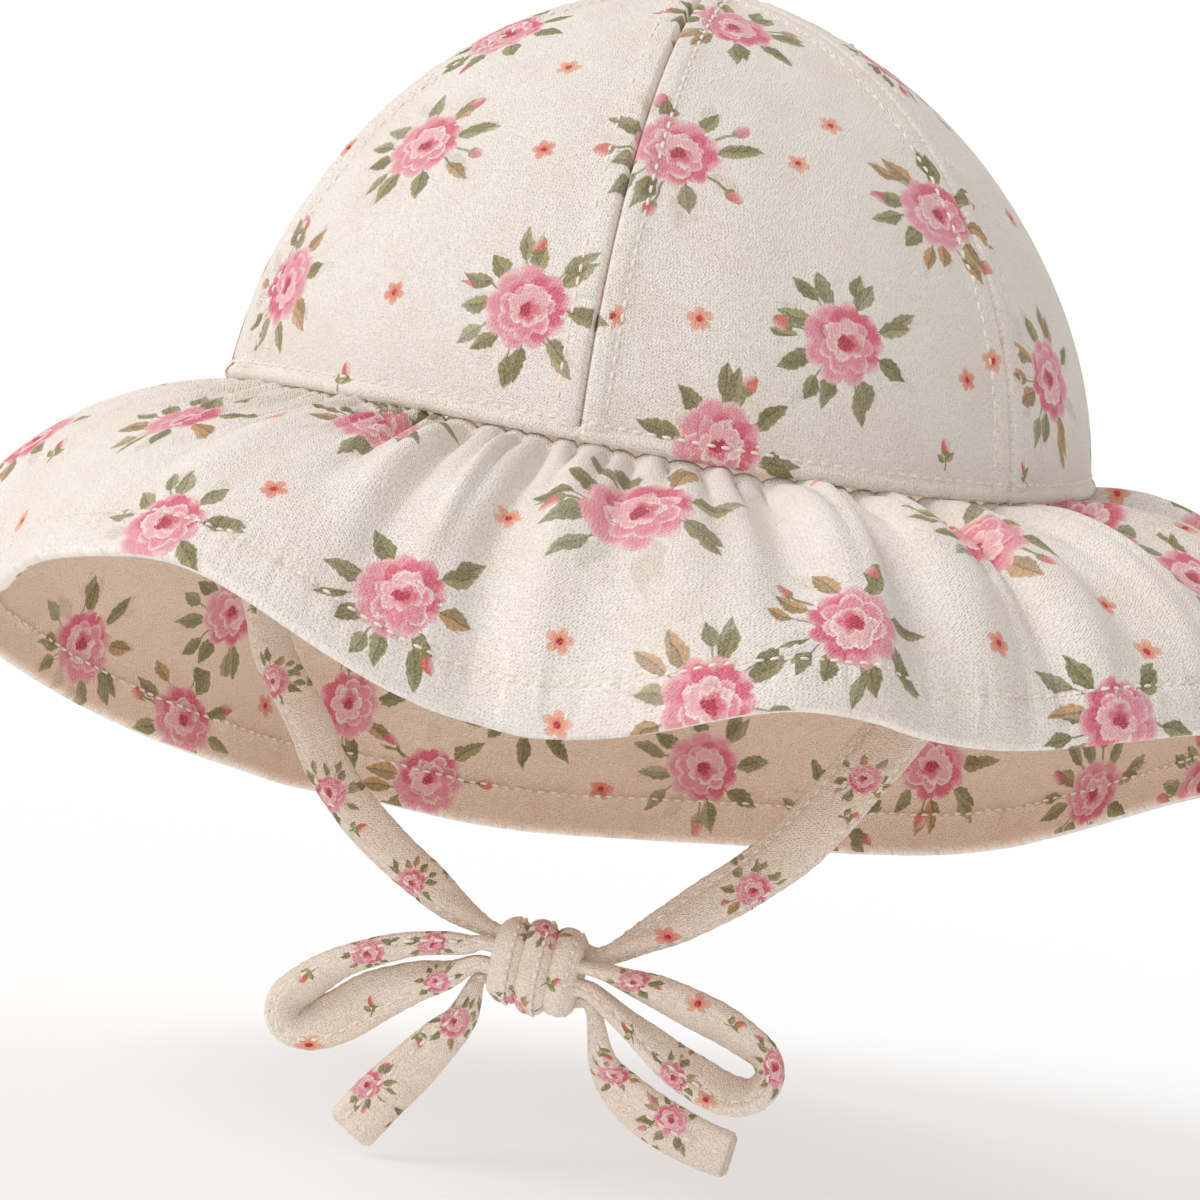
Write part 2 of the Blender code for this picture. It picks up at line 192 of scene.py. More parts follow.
PORT_WIDTH_SHARE = 0.44
PORT_THICKNESS_SHARE = 0.68
PORT_LEAD = 0.0022

# The camera, as it stood for the photograph
CAMERA_AZIMUTH = math.radians(9.75)
CAMERA_ELEVATION = math.radians(1.24)
CAMERA_ROLL = math.radians(7.35)
CAMERA_DISTANCE = 0.850
CAMERA_AIM = (-0.00675, -0.0311)
CAMERA_LENS = 141.9
FLOOR_HEIGHT = -0.1292

# Print: kind codes, and how far each kind reaches in units of its own radius
ROSE, FLOWER, SPRIG = 1, 2, 3
REACH = {ROSE: 2.05, FLOWER: 1.15, SPRIG: 1.6}

# Roses and small flowers of the crown: azimuth, climb, radius in mm, turn
CROWN_ROSES = (
    (-38, 0.39, 7.6, 20),
    (-9, 0.17, 7.6, -15),
    (-53, 0.15, 7.6, 35),
    (-53, 0.64, 7.4, 80),
    (7, 0.44, 7.8, 10),
    (18, 0.75, 7.4, -40),
    (33, 0.20, 7.6, 0),
    (17, 0.02, 7.6, 15),
    (54, 0.41, 7.6, 25),
    (72, 0.18, 7.8, -20),
    (87, 0.70, 7.4, 50),
)
CROWN_FLOWERS = (
    (-21, 0.57, 2.4, 0),
    (-15, 0.41, 2.3, 20),
    (-29, 0.16, 2.3, 40),
    (37, 0.54, 2.3, 10),
    (28, 0.46, 2.2, 55),
    (13, 0.20, 2.5, 5),
    (2, 0.18, 2.4, 30),
    (52, 0.17, 2.2, 0),
    (57, 0.20, 2.4, 15),
    (82, 0.42, 2.4, 35),
)
CROWN_SPRIGS = (
    (85, 0.58, 2.6, 20),
    (-34, 0.02, 2.8, -10),
    (48, 0.06, 2.8, 0),
    (63, 0.04, 2.6, 30),
)

# The same for the brim: azimuth, share of the way to the hem, radius in mm, turn
BRIM_ROSES = (
    (-44, 0.34, 7.6, 15),
    (-28, 0.90, 7.8, -10),
    (-22, 0.14, 7.4, 0),
    (-9, 0.74, 7.6, 10),
    (9, 0.32, 9.6, -5),
    (26, 0.74, 7.8, 20),
    (16, 0.95, 8.0, -25),
    (44, 0.26, 7.6, 30),
    (49, 0.93, 7.8, 0),
    (72, 0.08, 7.4, 40),
    (70, 0.46, 7.6, -20),
)
BRIM_FLOWERS = (
    (-32, 0.28, 2.6, 10),
    (-22, 0.66, 2.6, 35),
    (-3, 0.40, 2.5, 0),
    (4, 0.74, 2.4, 20),
    (29, 0.08, 2.2, 50),
    (39, 0.72, 2.5, 15),
    (53, 0.58, 2.4, 5),
    (54, 0.74, 2.7, 30),
    (-14, 0.90, 2.8, 0),
    (5, 0.95, 2.6, 25),
    (-52, 0.80, 2.4, 45),
)
BRIM_SPRIGS = ((-56, 0.56, 3.0, 15),)

# The same for the underside
UNDER_ROSES = (
    (-127, 0.64, 7.6, 0),
    (-110, 0.86, 7.6, 30),
    (-122, 0.93, 7.4, -20),
    (-143, 0.78, 7.4, 15),
    (-152, 0.93, 7.4, 60),
    (-161, 0.72, 7.4, -30),
    (-179, 0.84, 7.8, 10),
    (157, 0.80, 7.6, 20),
    (137, 0.92, 7.6, -15),
    (167, 0.93, 7.0, 45),
)
UNDER_FLOWERS = (
    (-169, 0.90, 2.6, 0),
    (-133, 0.84, 2.5, 20),
    (-148, 0.66, 2.4, 35),
    (146, 0.78, 2.6, 10),
)

# Flowers on the straps: kind, share of the length, radius in mm, across in shares, turn
TIE_PRINTS = {
    "tie_left": (
        (ROSE, 0.08, 3.2, 0.1, 0), (FLOWER, 0.20, 2.0, -0.1, 10), (ROSE, 0.32, 3.0, 0.2, 40),
        (SPRIG, 0.42, 2.0, 0, 90), (ROSE, 0.525, 3.4, 0.1, 20), (ROSE, 0.70, 3.5, 0.1, 70),
        (SPRIG, 0.76, 2.1, 0, 60), (ROSE, 0.865, 2.9, 0, 0),
    ),
    "tie_right": (
        (FLOWER, 0.07, 2.0, 0.1, 0), (ROSE, 0.20, 3.2, 0, 30), (FLOWER, 0.33, 2.1, 0.2, 0),
        (SPRIG, 0.44, 2.1, -0.1, 40), (ROSE, 0.565, 3.0, 0.35, 20),
        (SPRIG, 0.615, 2.3, -0.15, 130), (ROSE, 0.765, 3.3, 0, 60), (FLOWER, 0.885, 2.2, 0, 15),
    ),
    "bow_loop_left": (
        (ROSE, 0.14, 2.6, 0, 0), (ROSE, 0.27, 3.2, 0, 30), (SPRIG, 0.40, 2.2, 0, 10),
        (FLOWER, 0.58, 2.0, 0, 0), (SPRIG, 0.72, 2.2, 0, 60), (ROSE, 0.88, 2.6, 0, 15),
    ),
    "bow_loop_right": (
        (ROSE, 0.13, 2.8, 0, 0), (FLOWER, 0.27, 2.4, 0, 20), (SPRIG, 0.36, 2.2, 0, 40),
        (ROSE, 0.47, 3.0, 0, 10), (FLOWER, 0.64, 2.0, 0, 30), (ROSE, 0.72, 2.8, 0, 50),
        (SPRIG, 0.85, 2.2, 0, 0),
    ),
    "bow_tail_left": (
        (ROSE, 0.32, 3.2, 0, 20), (SPRIG, 0.48, 2.2, 0, 40), (ROSE, 0.78, 3.0, 0, 0),
    ),
    "bow_tail_right": (
        (SPRIG, 0.30, 2.2, 0, 0), (ROSE, 0.42, 2.6, 0.1, 30), (ROSE, 0.72, 3.4, 0, 0),
    ),
}

# Stitches
STITCH_PITCH = 2.45 * MM
STITCH_LENGTH = 1.75 * MM
STITCH_RADIUS = 0.27 * MM
SEAM_STITCH_DISTANCE = 4.2 * MM
BASE_STITCH_HEIGHT = 2.5 * MM
HEM_BAND = 8.0 * MM

# The gathers at the seam: widths in mm, the azimuths between which they are fine, height in
# mm and its spread, reaches in mm, and how far and how long they are drawn in at the seam
GATHER_WIDTHS = (3.0, 6.4)
FINE_GATHER_WIDTHS = (2.2, 3.8)
FINE_GATHERS = (302, 338)
GATHER_HEIGHT = 3.2
GATHER_SPREAD = (0.6, 1.25)
GATHER_REACHES = (8, 26)
GATHER_SINK = 3.0
GATHER_SINK_REACH = 11 * MM

# The weave: the yarns' spacing in mm, the bump's depth, and the radius that the brim's
# weave is laid round, in mm
YARN_SPACING = 0.60
WEAVE_DEPTH = 0.15 * MM
BRIM_WEAVE_RADIUS = 95

# Where the stitched groove of each wrap of the knot lies, as a share of the wrap
KNOT_SEAM = 0.72

# The floor's reach to each side, where it starts to bend, its bend and the wall's top
FLOOR_REACH = 30.0
FLOOR_BEND_START = 1.2
FLOOR_BEND = 1.2
WALL_TOP = 5.0

# What fills the cloth the photograph doesn't show: kind, radii in mm, and the room to leave
# to each kind that is there already
CROWN_FILL = (
    (ROSE, (7.2, 7.9), {ROSE: 34 * MM, FLOWER: 12 * MM, SPRIG: 16 * MM}),
    (FLOWER, (2.2, 2.6), {ROSE: 18 * MM, FLOWER: 21 * MM, SPRIG: 12 * MM}),
)
BRIM_FILL = (
    (ROSE, (7.2, 7.9), {ROSE: 33 * MM, FLOWER: 13 * MM, SPRIG: 15 * MM}),
    (FLOWER, (2.2, 2.7), {ROSE: 19 * MM, FLOWER: 21 * MM, SPRIG: 15 * MM}),
)


def srgb(red, green, blue):
    """A colour's linear values, from the 0 to 255 values that a screen shows."""
    values = []
    for value in (red, green, blue):
        value /= 255
        values.append(value / 12.92 if value <= 0.04045 else ((value + 0.055) / 1.055) ** 2.4)
    return tuple(values)


def unit(vectors):
    """Vectors of length one."""
    return vectors / np.maximum(np.linalg.norm(vectors, axis=-1, keepdims=True), 1e-12)


def smooth(low, high, values):
    """0 below low, 1 above high and an even curve between."""
    share = np.clip((values - low) / (high - low), 0, 1)
    return share * share * (3 - 2 * share)


def bell(values, centre, half_width):
    """A bump of height one."""
    return np.exp(-(((values - centre) / half_width) ** 2))


def on_axis(radius, azimuth, height):
    """Points at a radius, an azimuth in radians and a height."""
    return np.stack([radius * np.sin(azimuth), -radius * np.cos(azimuth), height + 0 * radius], -1)


def circle(count):
    """Angles spread evenly round a circle."""
    return np.linspace(0, 2 * math.pi, count, endpoint=False)


def degrees_away(azimuth, centre):
    """How far an azimuth in radians is from a centre in degrees, between -180 and 180."""
    return (np.degrees(azimuth) - centre + 180) % 360 - 180


def from_panel_seam(azimuth, radius):
    """The distance to the nearest of the crown's seams."""
    return np.abs(azimuth - PANEL_SPACING * np.round(azimuth / PANEL_SPACING)) * radius


def closed(line):
    """A line carried back to its first point."""
    return np.concatenate([line, line[:1]])


def arc_of(points):
    """Each point's distance along the line through the points."""
    return np.concatenate([[0], np.cumsum(np.linalg.norm(np.diff(points, axis=0), axis=1))])


def rows_at(places, arc, rows):
    """Rows of numbers at places along a line whose rows are known along its arc."""
    return np.stack([np.interp(places, arc, column) for column in rows.T], axis=1)


def weave_places(along, around, girth=0):
    """Places in the weave in mm, with the girth after which a tube's come round again."""
    return np.stack(np.broadcast_arrays(along, around, girth), -1)


def ripples(seed, count, low, high):
    """Random waves that close round the hat: whole waves round, waves per metre, phase, size."""
    rng = np.random.default_rng(seed)
    round_hat = rng.integers(low, high, count) * rng.choice([-1, 1], count)
    along = rng.uniform(-1, 1, count) * high / 0.5
    return round_hat, along, rng.uniform(0, 2 * math.pi, count), rng.uniform(0.5, 1, count)


def rippled(waves, azimuth, distance):
    """The sum of the waves, mostly between -1 and 1."""
    total = 0 * azimuth + 0 * distance
    for turns, along, phase, size in zip(*waves):
        total = total + size * np.sin(turns * azimuth + along * distance + phase)
    return total / math.sqrt(len(waves[0]))


SOFT_DENTS = ripples(3, 9, 2, 6)
CRUMPLES = ripples(5, 16, 9, 26)
FINE_CRUMPLES = ripples(8, 20, 30, 70)
PUCKERS = ripples(11, 12, 60, 130)


def add_object(name, data):
    """An object in the scene that holds this data."""
    thing = bpy.data.objects.new(name, data)
    bpy.context.scene.collection.objects.link(thing)
    return thing


def tidy_normals(piece):
    """Makes every face point outwards."""
    work = bmesh.new()
    work.from_mesh(piece.data)
    bmesh.ops.recalc_face_normals(work, faces=work.faces)
    work.to_mesh(piece.data)
    work.free()


def new_piece(name, points, faces, materials, tidy=True):
    """A smooth mesh piece on the hat's body. The faces are one array of quads or a list."""
    mesh = bpy.data.meshes.new(name)
    mesh.from_pydata(points.reshape(-1, 3).tolist(), [], [list(map(int, face)) for face in faces])
    mesh.shade_smooth()
    for material in materials:
        mesh.materials.append(material)
    piece = add_object(name, mesh)
    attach(piece, "root")
    if tidy:
        tidy_normals(piece)
    return piece


def grid_faces(columns, rows, close_columns=False, close_rows=False):
    """Quads of a grid stored column by column, each row index running upwards."""
    column = np.arange(columns if close_columns else columns - 1)
    row = np.arange(rows if close_rows else rows - 1)
    first, low = np.meshgrid(column, row, indexing="ij")
    second, high = (first + 1) % columns, (low + 1) % rows
    quads = [first * rows + low, second * rows + low, second * rows + high, first * rows + high]
    return np.stack(quads, -1).reshape(-1, 4)


def turned_out(faces, points, index, outward):
    """The faces, turned over if the one at the index points against the outward vector."""
    corner = points.reshape(-1, 3)[faces[index]]
    normal = np.cross(corner[2] - corner[0], corner[3] - corner[1])
    return faces[:, ::-1] if normal @ outward < 0 else faces


def corner_points(mesh):
    """Which point lies at each corner of each face."""
    corners = np.empty(len(mesh.loops), np.int32)
    mesh.loops.foreach_get("vertex_index", corners)
    return corners


def add_corner_vectors(mesh, name, values):
    """Stores one vector for each corner of each face."""
    attribute = mesh.attributes.new(name, "FLOAT_VECTOR", "CORNER")
    attribute.data.foreach_set("vector", np.ascontiguousarray(values, np.float32).ravel())


def stamp(piece, stamps, threads, period=0):
    """Lays the print on a piece of quads: each face takes the stamp whose edge is nearest.

    A stamp is its centre, the directions of its two axes, its normal, radius, kind and seed.
    The threads are each point's place in the weave, in millimetres, which comes round
    again after the period.
    """
    mesh = piece.data
    count = len(mesh.polygons)
    corners = corner_points(mesh)
    points = np.empty(len(mesh.vertices) * 3)
    mesh.vertices.foreach_get("co", points)
    points = points.reshape(-1, 3)
    quads = points[corners.reshape(-1, 4)]
    middle = quads.mean(1)
    normal = unit(np.cross(quads[:, 2] - quads[:, 0], quads[:, 3] - quads[:, 1]))
    best = np.full(count, 1e9)
    chosen = np.full(count, -1)
    for index, (centre, _, _, up, radius, kind, _) in enumerate(stamps):
        away = np.linalg.norm(middle - centre, axis=1) - REACH[kind] * radius
        away[(normal @ up < 0.25) | (away > 0)] = 1e9
        nearer = away < best
        best[nearer] = away[nearer]
        chosen[nearer] = index
    values = np.zeros((count, 4, 3))
    for index, (centre, side, rise, _, radius, kind, seed) in enumerate(stamps):
        mine = chosen == index
        local = quads[mine] - centre
        values[mine, :, 0] = local @ side / radius
        values[mine, :, 1] = local @ rise / radius
        values[mine, :, 2] = kind + seed
    add_corner_vectors(mesh, "motif", values)
    threads = threads.reshape(-1, 3)[corners].reshape(-1, 4, 3)
    run = threads[..., 0]
    far = run.max(1, keepdims=True)
    run[run < far - 100] += period
    add_corner_vectors(mesh, "thread", threads)


def make_stamp(centre, normal, upward, radius, kind, turn, seed):
    """A stamp that lies on the cloth, turned from its upward direction by some degrees."""
    normal = unit(normal)
    rise = unit(upward - normal * (upward @ normal))
    side = np.cross(rise, normal)
    angle = math.radians(turn)
    turned_side = side * math.cos(angle) + rise * math.sin(angle)
    turned_rise = rise * math.cos(angle) - side * math.sin(angle)
    return centre, turned_side, turned_rise, normal, radius, kind, seed


def scatter(stamps, candidates, fill, rng):
    """Adds each kind of stamp among the candidate places wherever there is room."""
    for kind, radii, spacing in fill:
        for centre, normal, upward in candidates:
            room = all(
                np.linalg.norm(centre - other[0]) > spacing[other[5]] or other[3] @ normal < 0
                for other in stamps
            )
            if room:
                radius = rng.uniform(*radii) * MM
                turn = rng.uniform(-60, 60)
                seed = rng.uniform(0.05, 0.95)
                stamps.append(make_stamp(centre, normal, upward, radius, kind, turn, seed))


# The shaders' arithmetic


class Value:
    """What a shader node gives, with the usual signs for arithmetic."""

    def __init__(self, tree, socket):
        self.tree = tree
        self.socket = socket

    def node(self, kind, **settings):
        node = self.tree.nodes.new(kind)
        for name, setting in settings.items():
            setattr(node, name, setting)
        return node

    def put(self, socket, value):
        if isinstance(value, Value):
            self.tree.links.new(value.socket, socket)
        else:
            socket.default_value = value

    def do(self, operation, *others):
        node = self.node("ShaderNodeMath", operation=operation)
        for socket, value in zip(node.inputs, (self, *others)):
            self.put(socket, value)
        return Value(self.tree, node.outputs[0])

    def __add__(self, other):
        return self.do("ADD", other)

    def __sub__(self, other):
        return self.do("SUBTRACT", other)

    def __mul__(self, other):
        return self.do("MULTIPLY", other)

    def __truediv__(self, other):
        return self.do("DIVIDE", other)

    def ramp(self, low, high):
        """0 at low, 1 at high and an even curve between, where low may be the larger."""
        node = self.node("ShaderNodeMapRange", interpolation_type="SMOOTHSTEP")
        self.put(node.inputs["Value"], self)
        self.put(node.inputs["From Min"], low)
        self.put(node.inputs["From Max"], high)
        return Value(self.tree, node.outputs["Result"])


def blended(share, first, second):
    """A colour between two, where a colour is a tuple or a Value."""
    node = share.node("ShaderNodeMix", data_type="RGBA")
    share.put(node.inputs[0], share)
    for socket, colour in ((node.inputs[6], first), (node.inputs[7], second)):
        if isinstance(colour, Value):
            share.put(socket, colour)
        else:
            socket.default_value = (*colour, 1.0)
    return Value(share.tree, node.outputs[2])


def parts_of(tree, socket):
    """A vector's three numbers."""
    node = tree.nodes.new("ShaderNodeSeparateXYZ")
    tree.links.new(socket, node.inputs[0])
    return [Value(tree, output) for output in node.outputs]


def kept_on_mesh(tree, name):
    """The three numbers that the mesh keeps under a name."""
    node = tree.nodes.new("ShaderNodeAttribute")
    node.attribute_name = name
    return parts_of(tree, node.outputs["Vector"])


def joined(x, y, z):
    """A vector of three numbers."""
    node = x.node("ShaderNodeCombineXYZ")
    for socket, value in zip(node.inputs, (x, y, z)):
        x.put(socket, value)
    return Value(x.tree, node.outputs[0])


def noise(vector, scale, detail, colour=False):
    """Smooth noise about one half."""
    node = vector.node("ShaderNodeTexNoise")
    vector.put(node.inputs["Vector"], vector)
    node.inputs["Scale"].default_value = scale
    node.inputs["Detail"].default_value = detail
    if colour:
        return parts_of(vector.tree, node.outputs["Color"])
    return Value(vector.tree, node.outputs[0])


def by_chance(first, second):
    """Three random numbers that two whole numbers or seeds choose."""
    node = first.node("ShaderNodeTexWhiteNoise", noise_dimensions="2D")
    first.put(node.inputs["Vector"], joined(first, second, 0.0))
    return parts_of(first.tree, node.outputs["Color"])


PINK_LIGHT = srgb(249, 214, 212)
PINK_DEEP = srgb(220, 92, 122)
OLIVE = srgb(136, 132, 76)
OLIVE_DARK = srgb(92, 90, 48)
SAGE = srgb(174, 170, 120)
TAN = srgb(212, 158, 104)
CORAL = srgb(226, 104, 92)
PEACH = srgb(247, 178, 150)
RED_CENTRE = srgb(200, 52, 66)
GROUND = srgb(249, 242, 235)
GROUND_WARM = srgb(243, 230, 218)
# The colour of the painted shade in the weave's hollows
WEAVE_HOLLOW_SHADE = srgb(214, 192, 172)
LINING = srgb(238, 226, 211)
THREAD = srgb(252, 246, 238)


def leaf_ring(r, angle, seed, fine, count, start, length, half_width, rate):
    """Leaves round a rose: how much a leaf covers here, and a leaf's colour."""
    sector = angle * (count / (2 * math.pi)) + seed * 7
    number = sector.do("FLOOR")
    chance, size, lean = by_chance(number, seed * 31 + count)
    share = sector - number - 0.5
    reach = size * (length * 0.4) + length * 0.68
    along = (r - start) / reach
    across = share * r * (2 * math.pi / count) - (lean - 0.5) * (along - 0.3) * 0.34
    inside = along.do("MAXIMUM", 0.0).do("MINIMUM", 1.0)
    belly = (inside.do("POWER", 0.8) * math.pi).do("SINE")
    side = across.do("ABSOLUTE")
    barbs = (along * 30 - side * 16).do("SINE")
    width = belly * (barbs * 0.06 + 0.95) * half_width
    shown = chance.ramp(rate + 0.001, rate)
    cover = (width - side).ramp(0.0, 0.03) * shown
    hue = by_chance(number + 0.5, seed * 17)[0]
    colour = blended(hue.ramp(0.3, 0.8), OLIVE, SAGE)
    colour = blended(hue.ramp(0.80, 0.82), colour, TAN)
    colour = blended(across.ramp(-0.02, 0.02) * 0.45, colour, OLIVE_DARK)
    colour = blended(barbs.ramp(0.3, 1.0) * side.ramp(0.0, 0.08) * 0.25, colour, OLIVE_DARK)
    vein = side.ramp(0.03, 0.008) * along.ramp(1.0, 0.8)
    colour = blended(vein * 0.8, colour, OLIVE_DARK)
    colour = blended((fine - 0.4).ramp(0.0, 0.5) * 0.22, colour, GROUND)
    stem = side.ramp(0.035, 0.015) * r.ramp(start - 0.45, start - 0.3)
    stem = stem * along.ramp(0.12, 0.0) * shown
    return cover.do("MAXIMUM", stem * 0.9), colour


def bud_ring(r, angle, seed, count, distance, size, rate):
    """Buds on stems round a rose, which point outwards."""
    sector = angle * (count / (2 * math.pi)) + seed * 5
    number = sector.do("FLOOR")
    chance, far, hue = by_chance(number, seed * 23 + count)
    shown = chance.ramp(rate + 0.001, rate)
    across = (sector - number - 0.5) * r * (2 * math.pi / count)
    along = r - distance - far * 0.2
    side = across.do("ABSOLUTE")
    oval = (across * across * 2.4 + along * along).do("SQRT")
    petal = blended(hue.ramp(0.3, 0.7), CORAL, PINK_DEEP)
    petal = blended((across + along * 0.4).ramp(0.0, 0.16) * 0.7, petal, PINK_LIGHT)
    bud = oval.ramp(size, size - 0.03)
    cup = along.ramp(-size * 0.25, -size * 0.55)
    colour = blended(bud, OLIVE, blended(cup, petal, OLIVE))
    stem = side.ramp(0.045, 0.02) * along.ramp(0.0, -0.05) * r.ramp(0.8, 0.9)
    return bud.do("MAXIMUM", stem) * shown, colour


# A rose's rings of petals from the outside in: radius, petals, scallop, rim and base colours
PETALS = (
    (1.00, 9, 0.16, srgb(250, 212, 212), srgb(240, 150, 168)),
    (0.84, 8, 0.22, srgb(244, 168, 180), srgb(226, 92, 124)),
    (0.68, 7, 0.26, srgb(252, 226, 222), srgb(238, 140, 160)),
    (0.50, 6, 0.28, srgb(254, 238, 233), srgb(246, 182, 190)),
    (0.34, 5, 0.30, srgb(252, 226, 222), srgb(228, 100, 130)),
    (0.18, 3, 0.30, srgb(214, 54, 92), srgb(180, 26, 68)),
)


# Leaves round a rose: count, start, length, half width and the share that shows
LEAF_RINGS = ((7, 1.10, 0.92, 0.20, 0.60), (8, 0.84, 0.98, 0.24, 0.84))
# Buds round a rose: count, distance, size and the share that shows
BUD_RING = (5, 1.45, 0.25, 0.27)


def rose(r, angle, seed, mottle, fine):
    """A cabbage rose: rings of rounded petals with light rims, one inside another."""
    colour = srgb(243, 184, 190)
    shape = r
    for number, (size, petals, scallop, rim, base) in enumerate(PETALS):
        lean = (angle + seed * 40 + number * 2.4).do("SINE") * (0.08 + 0.03 * number)
        turn = seed * 25 + number * 1.9
        lobes = (angle * (petals / 2) + turn).do("SINE").do("ABSOLUTE").do("POWER", 0.7)
        edge = (lobes * scallop + lean + (1 - scallop)) * size
        depth = (edge - r + (fine - 0.5) * 0.16 + (mottle - 0.5) * 0.12) / size
        if number == 0:
            shape = depth
        petal = blended(depth.ramp(0.03, 0.21 if number < 4 else 0.45), rim, base)
        petal = blended((fine - 0.5).ramp(0.0, 0.12) * 0.30, petal, rim)
        petal = blended(mottle.ramp(0.56, 0.40) * 0.55, petal, base)
        colour = blended(depth.ramp(-0.01, 0.05), colour, petal)
    return shape.ramp(-0.02, 0.06) * 0.95, colour


def sprig(x, y, seed):
    """A bud on a stem between two leaves."""
    stem = (x + (y * 3 + seed * 6).do("SINE") * 0.08).do("ABSOLUTE")
    cover = stem.ramp(0.09, 0.04) * y.ramp(-1.0, -0.9) * y.ramp(0.2, 0.1)
    colour = blended(stem, OLIVE, OLIVE_DARK)
    for turn, length in ((0.8, 1.0), (-0.95, 0.85)):
        along = (x * math.sin(turn) + (y + 0.5) * math.cos(turn)) / length
        across = x * math.cos(turn) - (y + 0.5) * math.sin(turn)
        belly = (along.do("MAXIMUM", 0.0).do("MINIMUM", 1.0) * math.pi).do("SINE") * 0.26
        leaf = (belly - across.do("ABSOLUTE")).ramp(0.0, 0.06)
        colour = blended(leaf, colour, blended(across.ramp(-0.03, 0.03), OLIVE, SAGE))
        cover = cover.do("MAXIMUM", leaf)
    high = y - 0.42
    oval = (x * x * 6.5 + high * high * 3.2).do("SQRT")
    petal = blended((x * 2 + high).ramp(-0.2, 0.5), CORAL, PINK_LIGHT)
    petal = blended(y.ramp(0.22, 0.12), petal, OLIVE)
    colour = blended(oval.ramp(1.0, 0.9), colour, petal)
    return cover.do("MAXIMUM", oval.ramp(1.0, 0.9)), colour


def small_flower(r, angle, seed, fine):
    """Five peach petals round a red centre."""
    petal = (angle * 2.5 + seed * 9).do("COSINE").do("ABSOLUTE").do("POWER", 0.6)
    edge = petal * 0.56 + 0.42
    cover = (r - edge + (fine - 0.5) * 0.1).ramp(0.05, -0.05)
    hue = blended((seed * 37).do("FRACT").ramp(0.35, 0.65) * 0.4, PEACH, CORAL)
    colour = blended(r.ramp(0.45, 0.95) * 0.45, hue, PINK_LIGHT)
    colour = blended(r.ramp(0.55, 0.2) * 0.4, colour, CORAL)
    colour = blended(r.ramp(0.27, 0.19), colour, RED_CENTRE)
    return cover, colour


def paint_print(tree, ground):
    """The printed cloth's colour over a ground colour."""
    x, y, code = kept_on_mesh(tree, "motif")
    kind = code.do("FLOOR")
    seed = code - kind
    place = joined(x, y, seed * 50)
    warp = noise(place, 2.0, 1.0, colour=True)
    fine = noise(place, 14.0, 3.0)
    x = x + (warp[0] - 0.5) * 0.22
    y = y + (warp[1] - 0.5) * 0.22
    r = (x * x + y * y).do("SQRT")
    angle = y.do("ARCTAN2", x)
    layers = [(ROSE, 0.95, leaf_ring(r, angle, seed, fine, *ring)) for ring in LEAF_RINGS]
    layers.append((ROSE, 0.95, bud_ring(r, angle, seed, *BUD_RING)))
    layers.append((SPRIG, 0.95, sprig(x, y, seed)))
    layers.append((ROSE, 1.0, rose(r, angle, seed, warp[2], fine)))
    layers.append((FLOWER, 1.0, small_flower(r, angle, seed, fine)))
    here = {code: kind.do("COMPARE", float(code), 0.1) for code in REACH}
    colour = ground
    for code, strength, (cover, paint) in layers:
        colour = blended(cover * here[code] * strength, colour, paint)
    return colour


def new_material(name, values):
    """A material, its nodes and its shader, with these values in the shader's inputs."""
    material = bpy.data.materials.new(name)
    material.use_nodes = True
    shader = material.node_tree.nodes["Principled BSDF"]
    for socket, value in values.items():
        shader.inputs[socket].default_value = value
    return material, material.node_tree, shader


def make_cloth(name, ground, shade, printed=True):
    """Cotton muslin: a fine uneven weave, with or without the print, and painted shade in the
    weave's hollows.
    """
    soft = {"Specular IOR Level": 0.22, "Sheen Weight": 0.12, "Sheen Roughness": 0.5}
    material, tree, shader = new_material(name, {"Roughness": 0.92, **soft})
    u, v, _ = kept_on_mesh(tree, "thread")
    place = joined(u, v, 0.0)
    slant = joined(u * 1.5 + v * 0.6, v * 1.1 - u * 0.5, 0.0)
    grain = noise(slant, 1.5, 2.0)
    wander = noise(place, 0.5, 1.0, colour=True)
    weave = 2 * math.pi / YARN_SPACING
    warp_yarn = (u * weave + wander[0] * 9).do("SINE")
    weft_yarn = (v * weave + wander[1] * 9).do("SINE")
    height = warp_yarn * weft_yarn * 0.42 + (grain - 0.5) * 3.0 + warp_yarn * 0.16
    tone = noise(place, 0.07, 2.0)
    colour = blended(tone.ramp(0.35, 0.7) * 0.5, ground, shade)
    if printed:
        colour = paint_print(tree, colour)
    # Painted shade: the colour darkens where the weave's bump is low, as shade in the hollows
    # between yarns
    weave_hollow_shade = height.ramp(0.2, -0.8) * 0.36
    colour = blended(weave_hollow_shade, colour, WEAVE_HOLLOW_SHADE)
    tree.links.new(colour.socket, shader.inputs["Base Color"])
    bump = tree.nodes.new("ShaderNodeBump")
    bump.inputs["Strength"].default_value = 1.0
    bump.inputs["Distance"].default_value = WEAVE_DEPTH
    tree.links.new(height.socket, bump.inputs["Height"])
    tree.links.new(bump.outputs["Normal"], shader.inputs["Normal"])
    return material


def make_thread():
    """Cream sewing thread with a twist."""
    values = {"Roughness": 0.6, "Sheen Weight": 0.2}
    material, tree, shader = new_material("sewing_thread", values)
    where = tree.nodes.new("ShaderNodeTexCoord")
    twist = noise(Value(tree, where.outputs["Object"]), 2600.0, 1.0)
    colour = blended(twist, THREAD, srgb(232, 218, 198))
    tree.links.new(colour.socket, shader.inputs["Base Color"])
    return material


cloth_crown = make_cloth("crown_print", GROUND, GROUND_WARM)
cloth_brim = make_cloth("brim_print", GROUND, GROUND_WARM)
# The underside's cloth is the same print tinted warmer and a little darker: painted warm shade for
# the light under the brim
cloth_under_painted_shade = make_cloth("underside_print_painted_shade", srgb(253, 231, 212), srgb(247, 218, 194))
